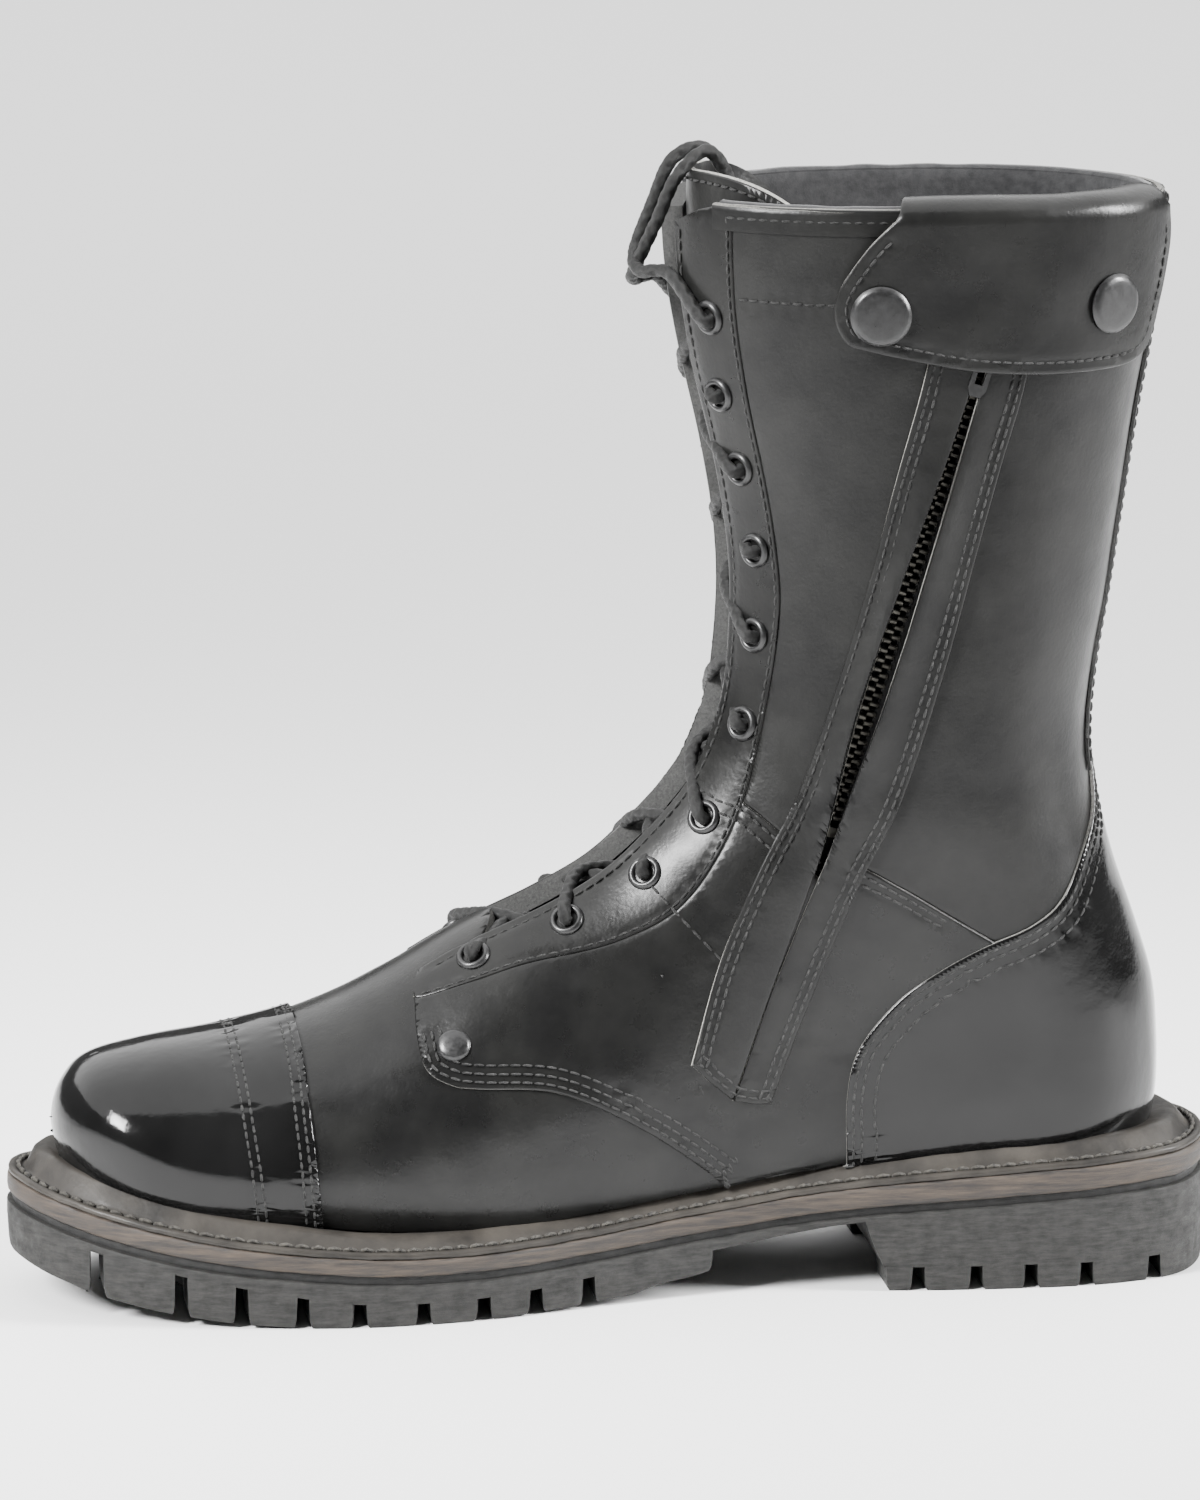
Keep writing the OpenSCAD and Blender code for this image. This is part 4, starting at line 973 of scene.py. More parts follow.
def make_facing(name, side):
    stay = part(EYESTAY, EYESTAY[-1], EYESTAY[0])
    stay = stay[stay[:, 1] < COLLAR_TOP - 1]
    edge = beside_ridge(84, COLLAR_TOP - 5, FACING_EDGE, side)
    corner = locate([(20, COLLAR_TOP - 2)], side)
    top = locate(resample([(22.5, COLLAR_TOP - 1), (26.5, COLLAR_TOP - 1)], 1), side)
    outline = np.vstack([edge, corner, top, locate(resample(stay, 1.1), side)])
    inner_row = rows_inside(edge[3:-1], (2.6,), on_upper(60, 150, side))[0]
    stay_row = rows_inside(locate(resample(stay[2:-4], 1.2), side), (1.3,), on_upper(5, 150, side))[0]
    piece = panel("facing_" + name, outline, FACING_OUT, -5.6, MATTE, DARK_EDGE,
                  lines=[inner_row, stay_row], swell=crease)
    register(piece, "matte_leather", "facing_" + name)
    sew(threads, [inner_row, stay_row], FACING_OUT - 0.2)


for name, side in SIDES.items():
    make_quarter(name, side)
    make_facing(name, side)
make_shafts()


# ---- guards either side of the zip --------------------------------------------------------------
SLIT = [(83, 0.15), (100, 0.35), (122, 1.1), (138, 1.9), (152, 2.7), (172, 2.9), (200, 2.2),
        (232, 1.3), (262, 0.9)]
SLIT_FOOT = (39.2, 83)
GUARD_OUT, LIP = 1.8, 2.1


def slit_half(z):
    return np.interp(z, *zip(*SLIT))


def slit_edge(sign):
    """One edge of the slit from the seam end at the bottom to the flap at the top."""
    x0, z0 = SLIT_FOOT
    zs = np.linspace(z0, GUARD_TOP, 90)
    x = np.where(zs > ZIP_END[1], zip_x(zs), x0 + (zs - z0) * (ZIP_END[0] - x0) / (ZIP_END[1] - z0))
    upper_part = np.stack([x + sign * slit_half(zs), zs], axis=1)
    return np.vstack([resample([(SEAM_END[0] + sign * 0.1, SEAM_END[1]), (38, 80)], 1), upper_part])


def lip(points):
    """The guards lift and curl where the leather stands open round the zip."""
    rise = ease((points[:, 2] - 100) / 45) * (1 - ease((points[:, 2] - 205) / 40))
    away = np.abs(points[:, 0] - zip_x(points[:, 2])) - slit_half(points[:, 2])
    return crease(points) + LIP * rise * np.exp(-(np.clip(away, 0, None) / 4.2)**2)


def make_guards():
    for name, outer, sign, low in (("front", GUARD_FRONT, -1, [(17, 61), (22, 56), (28, 51)]),
                                   ("rear", GUARD_REAR, 1, [(28, 51), (33, 49.8), (38, 49.5)])):
        edge = resample(smooth(outer, CURVE_STEPS), 1)
        slit = slit_edge(sign)
        if sign < 0:
            outline = joined(-1, edge, np.array(low), slit, level(GUARD_TOP, slit[-1, 0], edge[0, 0]))
        else:
            top = level(GUARD_TOP, edge[-1, 0], slit[-1, 0])
            outline = joined(-1, slit[::-1], np.array(low), edge, top)
        rows = rows_inside(trace(outer, -1), (1.6, 3.5), on_upper(zip_x(180), 180, -1))
        rows += rows_inside(trace(low, -1), (1.6, 3.5), on_upper(34, 70, -1))
        piece = panel("zip_guard_" + name, outline, GUARD_OUT, 0.25, SOFT, BRIGHT_EDGE, lines=rows,
                      swell=lip, spacing=1.4)
        register(piece, "matte_leather", "zip_guard_" + name)
        sew(threads, rows, GUARD_OUT - 0.2)


# ---- heel counter and backstay ------------------------------------------------------------------
def round_back(curve):
    """A side-view curve whose first point is on the back line, carried round to the lateral side."""
    medial, lateral = trace(curve, -1), trace(curve, 1)
    lateral[:, 1] += 360
    medial[0, 1] = lateral[0, 1] = 180
    lateral[0, 0] = medial[0, 0]
    return np.vstack([medial[::-1], lateral[1:]])


def make_counter():
    edge = round_back([(124.6, 139)] + COUNTER[1:])
    slack = 0.25
    outline = np.vstack([edge, line((edge[-1, 0], 180 + slack), (HEEL_ROW, 180 + slack), 40),
                         line((HEEL_ROW, 180 - slack), (edge[0, 0], 180 - slack), 40)])
    rows = rows_inside(edge, (1.7, 3.8, 7.2), on_upper(120, 60, -1))
    piece = panel("heel_counter", outline, 1.3, 0.0, GLOSS, RAW_EDGE, lines=rows, swell=toe_polish)
    register(piece, "gloss_leather", "heel_counter_cover", "heel_stiffener")
    sew(threads, rows, 1.1)


BACKSTAY = [(136, 13), (150, 9.6), (175, 8.4), (215, 8.6), (COLLAR_TOP, 9.3)]


def beside(spine, distance, steps=8):
    """Paths on both sides of a spine, as far from it as distance says at each point."""
    sides = []
    for sign in (1, -1):
        q = spine
        for _ in range(steps):
            q = q + (shifted(q, sign * 1.0) - q) * (distance / steps)[:, None]
        sides.append(q)
    return sides


def make_backstay():
    back = BACK[(BACK[:, 1] > 132) & (BACK[:, 1] < COLLAR_TOP), :2]
    spine = locate(resample(back, 1.5), -1)
    spine[:, 1] = 180
    half = np.interp(upper(spine)[:, 2], *zip(*BACKSTAY))
    edges = beside(spine, half)
    rows = beside(spine, half - 2)
    outline = np.vstack([edges[0], edges[1][::-1]])
    piece = panel("backstay", outline, 1.25, 0.0, SOFT, DARK_EDGE, lines=rows, swell=crease)
    register(piece, "matte_leather", "backstay")
    sew(threads, rows, 1.05)


# ---- lining, collar and tongue ------------------------------------------------------------------
LINING_TOP, LINING_TOE, LINING_GAP = 280.8, -30, 2.5


def make_lining():
    stay = [p for p in EYESTAY if LINING_TOE < p[0] and p[1] < LINING_TOP]
    stay_m, stay_l = trace(stay[::-1], -1, LINING_GAP), trace(stay, 1, LINING_GAP)
    toe_row = locate([(LINING_TOE, feather(LINING_TOE))], -1)[0, 0]
    slack = 0.4
    front_x, rear_x = zip_x(LINING_TOP) - SLOT_HALF, zip_x(LINING_TOP) + SLOT_HALF
    foot_x = zip_x(106)
    # The slot behind the zip is open at the foot too, so the slider has room
    top_m = np.vstack([locate(resample(s, LINING_GAP), -1) for s in (
        level(LINING_TOP, 27, front_x), np.array([(front_x, 279), (foot_x - SLOT_HALF, 110)]),
        level(107, foot_x - 4, foot_x + 4), np.array([(foot_x + SLOT_HALF, 110), (rear_x, 279)]),
        level(LINING_TOP, rear_x, 150))])
    top_l = locate(resample(level(LINING_TOP, 27, 150), LINING_GAP), 1)
    for far in (stay_l, top_l):
        far[:, 1] += 360
    outline = np.vstack([
        stay_m, line(stay_m[-1], (toe_row, 180 - slack), 50),
        line((toe_row, 180 - slack), (HEEL_ROW, 180 - slack), 60),
        line((HEEL_ROW, 180 + slack), (toe_row, 180 + slack), 60),
        line((toe_row, 180 + slack), stay_l[0], 50), stay_l, top_l, top_m[::-1]])
    piece = panel("lining", outline, -4.4, -5.8, LINING_MAT, DARK_EDGE, spacing=3.2)
    register(piece, "lining_fabric", "lining", "interlining")


def lower(path, distance, k):
    """The path moved over the surface, to the side on which its point k comes lower."""
    row = shifted(path, distance)
    return row if upper(row)[k, 2] <= upper(path)[k, 2] else shifted(path, -distance)


def collar_path():
    """The top edge, from one facing round the back to the other."""
    medial, lateral = [locate(resample(level(COLLAR_TOP - 0.6, 23, 150), 1.5), side) for side in (-1, 1)]
    lateral[:, 1] += 360
    medial[-1, 1] = lateral[-1, 1] = 180
    return np.vstack([medial[:-1], lateral[::-1]])


# Offset and rise of the collar's section: leather outside, its cut edge, then the soft lined roll
COLLAR_SECTION = (
    (0.1, -6.0), (0.25, -3.5), (0.12, -2.2), (0.3, -1.0), (0.1, 0.1), (-0.3, 0.45), (-1.5, 0.5),
    (-1.9, 0.1), (-2.2, -0.1), (-2.7, 0.5), (-3.9, 0.9), (-5.2, 0.5), (-6.0, -0.8), (-6.4, -3.5),
    (-6.2, -10.0), (-5.0, -10.2), (-4.6, -2.2), (-1.4, -2.2), (-1.2, -6.0))
# How many of its faces are leather, and then how many are cut edge; the rest is lining
COLLAR_LEATHER, COLLAR_CUT = 4, 3
COLLAR_ROW = 2.6


def make_collar():
    path = collar_path()
    wave = waves(upper(path), 9, 0.35)
    rings = np.stack([upper(path, o) + np.outer(up + wave * (up > 0), (0, 0, 1))
                      for o, up in COLLAR_SECTION], axis=1)
    verts, faces = loft(rings)
    m = len(COLLAR_SECTION)
    kinds = [0] * COLLAR_LEATHER + [1] * COLLAR_CUT + [2] * (m - COLLAR_LEATHER - COLLAR_CUT)
    indices = kinds * (len(rings) - 1) + [2, 2]
    piece = add_mesh("collar", verts, faces, [SOFT, RAW_EDGE, LINING_MAT], indices, sharp=60)
    flip_out(piece)
    register(piece, "matte_leather", "collar_padding")
    row = lower(path, COLLAR_ROW, 40)
    sew(threads, [row[2:-2]], 0.15)


TONGUE_HALF, TONGUE_TOP_TURN = 25, 56
TONGUE_FOOT, TONGUE_TOP = 90, 287.5


def tongue_shape(uv, offset=0.0):
    """The tongue lies under the facings and rises a little into the lace gap."""
    uv = np.atleast_2d(uv)
    p = upper(uv, 0)
    bulge = np.exp(-(p[:, 1] / 11)**4)
    return upper(uv, -8.4 + 1.5 * bulge + offset)


def tongue_folds(points):
    return crease(points) + waves(points / (9, 30, 9), 1, 0.35)


def make_tongue():
    spine = ridge(TONGUE_FOOT, TONGUE_TOP)
    rows = np.linspace(spine[0, 0], spine[-1, 0], 140)
    widen = ease((rows - rows[60]) / (rows[-1] - rows[60]))
    edges = []
    for side in (-1, 1):
        near = beside_ridge(TONGUE_FOOT, 290, TONGUE_HALF, side)
        near = near[np.argsort(near[:, 0])]
        turn = np.interp(rows, near[:, 0], near[:, 1])
        edges.append(np.column_stack([rows, turn * (1 - widen) - side * TONGUE_TOP_TURN * widen]))
    foot = line(edges[1][0], edges[0][0], 30)
    t = np.linspace(-1, 1, 60)
    top = np.column_stack([rows[-1] - 0.35 * np.abs(t)**4, -TONGUE_TOP_TURN * t])
    keep = [e[e[:, 0] < top[0, 0]] for e in edges]
    outline = np.vstack([keep[0], top, keep[1][::-1], foot])
    seam = lower(top[4:-4], 2.4, 25)
    piece = panel("tongue", outline, 0.0, -2.2, SOFT, BRIGHT_EDGE, shape=tongue_shape, swell=tongue_folds,
                  lines=[seam])
    register(piece, "matte_leather", "tongue")
    sew(threads, [seam], 0, shape=tongue_shape)


make_guards()
make_counter()
make_backstay()
make_lining()
make_collar()
make_tongue()


# ---- zip: gusset, tapes and teeth ---------------------------------------------------------------
ZIP_START = np.array([ZIP_TOP[0], -42.4, ZIP_TOP[1]])
ZIP_FOOT = np.array([ZIP_END[0], -29.9, ZIP_END[1]])
zip_down = (ZIP_FOOT - ZIP_START) / np.linalg.norm(ZIP_FOOT - ZIP_START)
zip_out = np.array([0, -1, -0.06])
zip_out = zip_out - (zip_out @ zip_down) * zip_down
zip_out /= np.linalg.norm(zip_out)
zip_side = np.cross(-zip_down, zip_out)
CHAIN_TOP, CHAIN_END, TOOTH_PITCH = 9, 152, 2.6
# Blocks of one tooth: centre beside its own middle, size and cut edge
TOOTH = ((0, (2.3, 1.15, 2.3), 0.28), (-0.75, (1.0, 1.55, 1.2), 0.3), (1.0, (1.3, 1.5, 1.9), 0.3))


def on_zip(x, s, out):
    """A point beside the chain: x to the rear, s down the chain, out from it."""
    return ZIP_START + x * zip_side + s * zip_down + out * zip_out


def hull(points):
    """Vertices and faces of the convex hull of a few points."""
    bm = bmesh.new()
    for p in points:
        bm.verts.new(p)
    bmesh.ops.convex_hull(bm, input=bm.verts)
    bm.verts.ensure_lookup_table()
    bm.verts.index_update()
    verts = np.array([v.co[:] for v in bm.verts])
    faces = [tuple(v.index for v in f.verts) for f in bm.faces]
    bm.free()
    return verts, faces


def chamfered(centre, size, bevel):
    """Hull points of a box with cut edges, in the zip's own directions."""
    half = np.array(size) / 2
    return [on_zip(*(centre + np.array(corner) * (half - bevel + bevel * axis)))
            for corner in product((-1, 1), repeat=3) for axis in np.eye(3)]


def chain_spread(s):
    return 1.2 * (1 - float(ease((s - 14) / 3.5)))


TAPE_SECTION = ((1.95, -0.2), (2.05, 0.25), (2.6, 0.42), (3.3, 0.3), (8.5, 0.3), (8.6, -0.1), (8.5, -0.4),
                (2.2, -0.4))


def make_zip():
    for name, side in (("front", -1), ("rear", 1)):
        rings = [np.array([on_zip(side * (x + chain_spread(s) * (x < 4)), s, o) for x, o in TAPE_SECTION])
                 for s in np.arange(4, CHAIN_END + 4, 1.5)]
        solid("zip_tape_" + name, loft(rings), TAPE_MAT, "zip_tape", "zip_tape_" + name, sharp=40)
        teeth = Group()
        first = CHAIN_TOP + (TOOTH_PITCH / 2 if side > 0 else 0)
        for s in np.arange(first, CHAIN_END, TOOTH_PITCH):
            x = side * (chain_spread(s) + 0.85)
            for beyond, size, bevel in TOOTH:
                teeth.add(*hull(chamfered((x + side * beyond, s, 0), size, bevel)))
        solid("zip_teeth_" + name, teeth.mesh(), ZIP_METAL, "zip_metal", "zip_teeth_" + name, sharp=30,
              flip=False)
    mid = np.array([(zip_x(z), z) for z in np.linspace(278.5, 104, 64)])
    outline = joined(-1, mid - [14, 0], (mid + [14, 0])[::-1])
    gusset = panel("zip_gusset", outline, -8.6, -9.4, LINING_MAT, DARK_EDGE, spacing=3)
    register(gusset, "lining_fabric", "zip_gusset")


# ---- closure flap -------------------------------------------------------------------------------
FLAP = [(66, 280), (59, 272), (52.5, 260), (54.5, 250), (62, 246.5), (88, 241), (115, 240), (128, 243),
        (133, 256), (135.5, 270), (135, 280)]
RIM_Z = 279.5
FOLD_CENTRE, FOLD_HALF, FOLD_RISE, FOLD_LENGTH = -0.9, 6.3, 4.4, 16.5
FLAP_THICK = 1.5


def flap_shape(places, offset=0.0):
    """The flap's middle: places are (x, length up the flap past the rim)."""
    places = np.atleast_2d(places)
    x, b = places[:, 0], places[:, 1]
    offset = np.broadcast_to(np.reshape(offset, -1), x.shape)
    past = np.clip(b - FOLD_LENGTH, 0, None)
    z = RIM_Z + np.minimum(b, 0) - past
    phi = np.clip(b / FOLD_LENGTH, 0, 1) * math.pi
    out = FOLD_CENTRE + (FOLD_HALF + offset) * np.cos(phi)
    rise = (FOLD_RISE + offset) * np.sin(phi)
    uv = locate(np.stack([x, z], axis=1), -1)
    sag = 0.15 * np.exp(-((x - 96) / 26)**2) * ease(-b / 20)
    return upper(uv, out - sag * (out > 0)) + np.outer(rise, (0, 0, 1))


def flap_swell(points):
    return waves(points, 24, 0.45) + waves(points, 9, 0.12)


def flap_panel(name, outline, out, inner, leather, edge, spacing, lines=(), swell=None):
    return panel(name, outline, out, inner, leather, edge, shape=flap_shape, scale=(1, 1),
                 spacing=spacing, lines=lines, swell=swell)


def make_flap():
    low = resample(smooth(FLAP, CURVE_STEPS), 1.0)
    low[:, 1] -= RIM_Z
    crest = FOLD_LENGTH * 0.62
    top = np.array([(134.5, 3), (134, crest - 1), (132.5, crest), (70, crest), (68, crest - 1), (67, 3)])
    ring = low[4:-4]
    k = len(ring) // 2
    row = shifted(ring, 3.0, flap_shape)
    if row[k, 1] < ring[k, 1]:
        row = shifted(ring, -3.0, flap_shape)
    half = FLAP_THICK / 2
    flap = flap_panel("closure_flap", np.vstack([low, resample(top, 1.0)]), half, -half, MATTE, RAW_EDGE,
                      1.6, [row], flap_swell)
    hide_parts("closure_flap")
    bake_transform(flap)
    sewing = Group()
    sew(sewing, [row], half - 0.25, shape=flap_shape, pitch=2.9)
    solid("flap_stitching", sewing.mesh(), THREAD, "matte_leather", body="flap", flip=False)
    centre = np.array([95, -18])
    under = np.vstack([centre + (low[2:-2] - centre) * 0.955, [(130, -1.5), (70, -1.5)]])
    lining = flap_panel("flap_lining", under, -half - 0.05, -half - 0.6, LINING_MAT, DARK_EDGE, 2.5)
    register(lining, "matte_leather", "flap_lining", body="flap")
    a, b, c = FOLD_LENGTH * 0.45, FOLD_LENGTH + 9, FOLD_LENGTH + 11
    strip = resample([(69, a), (131, a), (132, b), (130, c), (70, c), (68, b), (69, a)], 1.0)
    row = np.array([(x, FOLD_LENGTH + 8.5) for x in np.arange(71, 130, 1.2)])
    anchor = flap_panel("flap_anchor", strip, half - 0.5, -half + 0.1, MATTE, RAW_EDGE, 1.8, [row],
                        flap_swell)
    register(anchor, "matte_leather", "flap_anchor")
    sew(threads, [row], half - 0.75, shape=flap_shape)


SNAPS = ((63, 256), (120, 257))
SNAP_R = 7.7
CAP_PROFILE = ((0, 1.75), (3.5, 1.72), (5.6, 1.6), (6.5, 1.45), (7.1, 1.1), (SNAP_R, 0.35),
               (SNAP_R - 0.15, -0.1), (SNAP_R - 1, -0.5), (0, -0.5))


def make_snaps():
    caps = Group()
    for x, z in SNAPS:
        place = np.array([[x, z - RIM_Z]], float)
        p = flap_shape(place, FLAP_THICK / 2)[0]
        n = flap_shape(place, FLAP_THICK / 2 + 1)[0] - p
        caps.add(*lathe(CAP_PROFILE, p, n, 64))
    solid("snap_caps", caps.mesh(), BLACK_METAL, "black_metal", "snap_caps", sharp=40, body="flap")


# ---- eyelets, rivets and lace -------------------------------------------------------------------
EYELETS = [(23, 252), (26, 232), (31, 213), (35, 192), (35, 170), (32, 147), (22, 123), (7, 108.5),
           (-13, 96.5), (-37, 87.5)]
EYELET_PROFILE = ((2.7, -2.4), (2.7, 0.35), (2.85, 0.8), (3.25, 1.1), (3.7, 1.12), (4.15, 0.85),
                  (4.5, 0.35), (4.55, -0.1), (4.2, -0.5), (4.2, -2.4), (2.7, -2.4))
RIVET = (-44, 68)
RIVET_PROFILE = ((0, 1.5), (2.2, 1.45), (3.4, 1.2), (4.1, 0.75), (4.4, 0.1), (4.2, -0.6), (0, -0.6))


def hand_at(x, z, side, out):
    """A place on the creased leather and the normal there."""
    uv = locate([(x, z)], side)
    p = upper(uv, 0)
    n = upper(uv, 1)[0] - p[0]
    return upper(uv, out + crease(p))[0], n


def hardware(name, places, out, profile, sides, sharp):
    """Turned metal pieces at (x, z, side) places, as one piece."""
    group = Group()
    for place in places:
        group.add(*lathe(profile, *hand_at(*place, out), sides))
    solid(name, group.mesh(), BLACK_METAL, "black_metal", name, sharp=sharp)


def make_eyelets():
    for name, side in SIDES.items():
        places = [(x, z, side) for x, z in EYELETS]
        hardware("eyelets_" + name, places, FACING_OUT, EYELET_PROFILE, 36, 50)
    hardware("rivets", [(*RIVET, side) for side in SIDES.values()], QUARTER_OUT, RIVET_PROFILE, 40, 40)


LACE_R = 1.75
OVER = LACE_R + 0.5
TOP_MEDIAL = np.array([
    (14, -13, 262), (7.5, -6, 262), (7, 1, 266), (12, 4, 278), (17, 4, 289), (25, 3, 292), (31, 1, 284),
    (33, 0, 270), (34, -2, 250), (36, -4, 232)], float)
LINING_IN = -5.8


def at_eyelet(k, side, out):
    return upper(locate([EYELETS[k]], side), out)[0]


def ridge_middle(k):
    e = (np.array(EYELETS[k]) + np.array(EYELETS[k - 1])) / 2
    near = FRONT[np.argmin(((FRONT[:, :2] - e)**2).sum(1)), :2]
    n = hand_at(e[0], e[1], -1, 0)[1][[0, 2]]
    return near - 4.6 * n / np.linalg.norm(n)


def crossing(k, side, lift):
    p = at_eyelet(k, side, OVER + 0.4)
    q = at_eyelet(k - 1, -side, LINING_IN - OVER - 1.2)
    mx, mz = ridge_middle(k)
    m = np.array([mx, 0, mz])
    return [at_eyelet(k, side, LINING_IN / 2), p, p + 0.35 * (m - p) + lift * np.array([-1.6, 0, 1.2]),
            m + lift * np.array([-1.2, 0, 0.8]), q]


def strand(side):
    points = []
    for k in range(9, 0, -1):
        points += crossing(k, side * (1 if k % 2 == 1 else -1), 1 if side > 0 else -0.6)
    return points


def end_route(side):
    tail = TOP_MEDIAL.copy()
    if side > 0:
        tail[:, 1] *= -1
        tail[tail[:, 0] < 20, 2] -= 3.6
    return [at_eyelet(0, side, LINING_IN / 2), at_eyelet(0, side, OVER + 0.4)] + list(tail)


BRAID_SIDES, BRAID_PITCH, BRAID_STEP = 18, 4.2, 0.5


def braid(points):
    """A round braided cord through the points: its strands stand up as a fine lattice."""
    p = resample(smooth(points, 14), BRAID_STEP)
    turn = (2 * math.pi * np.arange(len(p)) * BRAID_STEP / BRAID_PITCH)[:, None]
    w = np.arange(BRAID_SIDES) * 2 * math.pi / BRAID_SIDES
    lattice = np.maximum(np.cos(3 * w + turn), np.cos(3 * w - turn))
    return tube(p, LACE_R * (0.9 + 0.11 * lattice), BRAID_SIDES)


def make_lace():
    bar_a, bar_b = [at_eyelet(9, side, LINING_IN - OVER - 1) for side in (-1, 1)]
    route = strand(-1)[::-1] + [bar_a, (bar_a + bar_b) / 2 + [-2, 0, 2], bar_b] + strand(1)
    cords = Group()
    cords.add(*braid(route))
    tips = Group()
    for side in (-1, 1):
        path = end_route(side)
        cords.add(*braid(path))
        t = path[-1] - path[-2]
        t /= np.linalg.norm(t)
        along = path[-1] + np.array([0.05, 1, 17, 18])[:, None] * t
        tips.add(*tube(along, LACE_R * np.array([0.9, 0.86, 0.8, 0.66]), 20))
    solid("lace", cords.mesh(), CORD, "lace_cord", "lace")
    solid("aglets", tips.mesh(), AGLET, "aglet_plastic", "aglets", sharp=40, flip=False)


make_zip()
make_flap()
make_snaps()
make_eyelets()
make_lace()
solid("upper_stitching", threads.mesh(), THREAD, "matte_leather", flip=False)


# ---- sole ---------------------------------------------------------------------------------------
# The plan of the sole's edge, then heights along it as (x, z)
SOLE = [(157, 0), (154, -16), (145, -29), (128, -36), (110, -38), (85, -37.5), (60, -35), (40, -33.5),
        (15, -36), (-10, -43), (-35, -51), (-60, -55), (-85, -54), (-110, -49), (-132, -39), (-148, -25),
        (-156, -8), (-154, 9), (-144, 24), (-125, 38), (-100, 47.5), (-70, 53.5), (-35, 56), (-5, 53),
        (25, 45.5), (50, 42), (75, 40), (100, 40), (125, 38), (144, 30), (154, 16)]
WAIST = [(-158, 19.5), (-135.5, 17), (-115, 13), (-100, 10.4), (-84.7, 7.9), (-70, 6.1), (-54, 5.6),
         (-38, 5.9), (-24.5, 6.7), (-10, 8), (5, 10), (30, 13), (60, 18), (90, 18.8), (158, 20.5)]
RUBBER_TOP = [(-158, 27), (-130, 20.5), (-100, 16), (-60, 13), (-20, 13.6), (20, 17), (60, 21.8),
              (100, 24.5), (158, 27.5)]
MIDSOLE_TOP = [(-158, 32), (-130, 25.6), (-100, 20.6), (-60, 17.4), (-20, 18), (20, 21.8), (60, 27.2),
               (100, 30.5), (158, 33.6)]
GROUND = [(-158, 12.5), (-145, 8.5), (-128, 4.5), (-105, 1.5), (-80, 0), (-50, 0), (-20, 0.6), (0, 2),
          (8, 4), (20, 6), (26, 9)]
HEEL_GROUND = [(60, 0), (152, 0), (157.5, 3)]
FORE_GROOVES = (-135.5, -115, -100, -84.7, -70.3, -54, -38.3, -24.5, -10.4)
HEEL_GROOVES = (76, 91, 105.3, 120, 138.7)
GROOVE_HALF = 1.4
FORE_END, BREAST = 23, 62
BREAST_SLOPE = 7
TREAD_BAR = 17


def height(curve, shift=0.0):
    """A height along the sole as a function of x."""
    c = smooth(curve, 8)
    c = c[np.argsort(c[:, 0])]
    return lambda x: np.interp(x, c[:, 0], c[:, 1]) + shift


def inset(loop, distance):
    """A counter-clockwise plan outline moved inwards."""
    e1 = loop - np.roll(loop, 1, axis=0)
    e2 = np.roll(loop, -1, axis=0) - loop
    e1 /= np.linalg.norm(e1, axis=1, keepdims=True) + 1e-9
    e2 /= np.linalg.norm(e2, axis=1, keepdims=True) + 1e-9
    n1 = np.stack([-e1[:, 1], e1[:, 0]], axis=1)
    n = n1 + np.stack([-e2[:, 1], e2[:, 0]], axis=1)
    n /= np.linalg.norm(n, axis=1, keepdims=True) + 1e-9
    return loop + distance * n / np.clip((n * n1).sum(1), 0.4, 1)[:, None]


def anticlockwise(loop):
    return loop if turns_left(loop) > 0 else loop[::-1]


edge_loop = smooth(SOLE, 14, loop=True)
edge_loop = anticlockwise(resample(np.vstack([edge_loop, edge_loop[:1]]), 1.6)[:-1])
waist_at, rubber_at, midsole_at = height(WAIST), height(RUBBER_TOP), height(MIDSOLE_TOP)
ground_at, heel_ground_at = height(GROUND), height(HEEL_GROUND)


def ring_levels(levels, loop=edge_loop):
    """Rings from (inset, height function, rise)."""
    rings = []
    for distance, at, rise in levels:
        plan = inset(loop, distance)
        rings.append(np.column_stack([plan, at(plan[:, 0]) + rise]))
    return rings


def worn(points, amount=0.12, size=7.0):
    """Small unevenness of moulded and trimmed edges."""
    p = np.array(points)
    d = np.array([[noise.noise(Vector(q) / size + Vector((k * 31.0, 0, 0))) for k in range(3)] for q in p])
    return p + amount * d


def add_worn(group, rings):
    verts, faces = loft(rings)
    group.add(worn(verts), faces)


def side_of_sole(loop, side, x):
    """y of an outline's side at x, where the outline has one point a side."""
    keep = loop[np.sign(loop[:, 1]) == side]
    keep = keep[np.argsort(keep[:, 0])]
    return np.interp(x, keep[:, 0], keep[:, 1])


def lug(group, plan, bottom, top):
    """A tread block, narrower at the ground, its lower edges rounded by wear."""
    plan = anticlockwise(np.array(plan, float))
    plan = resample(np.vstack([plan, plan[:1]]), 1.8)[:-1]
    add_worn(group, ring_levels([(1.5, bottom, 0.0), (0.95, bottom, 0.12), (0.6, bottom, 0.7),
                                 (0.35, bottom, 2.2), (0.05, top, 0.0)], plan))


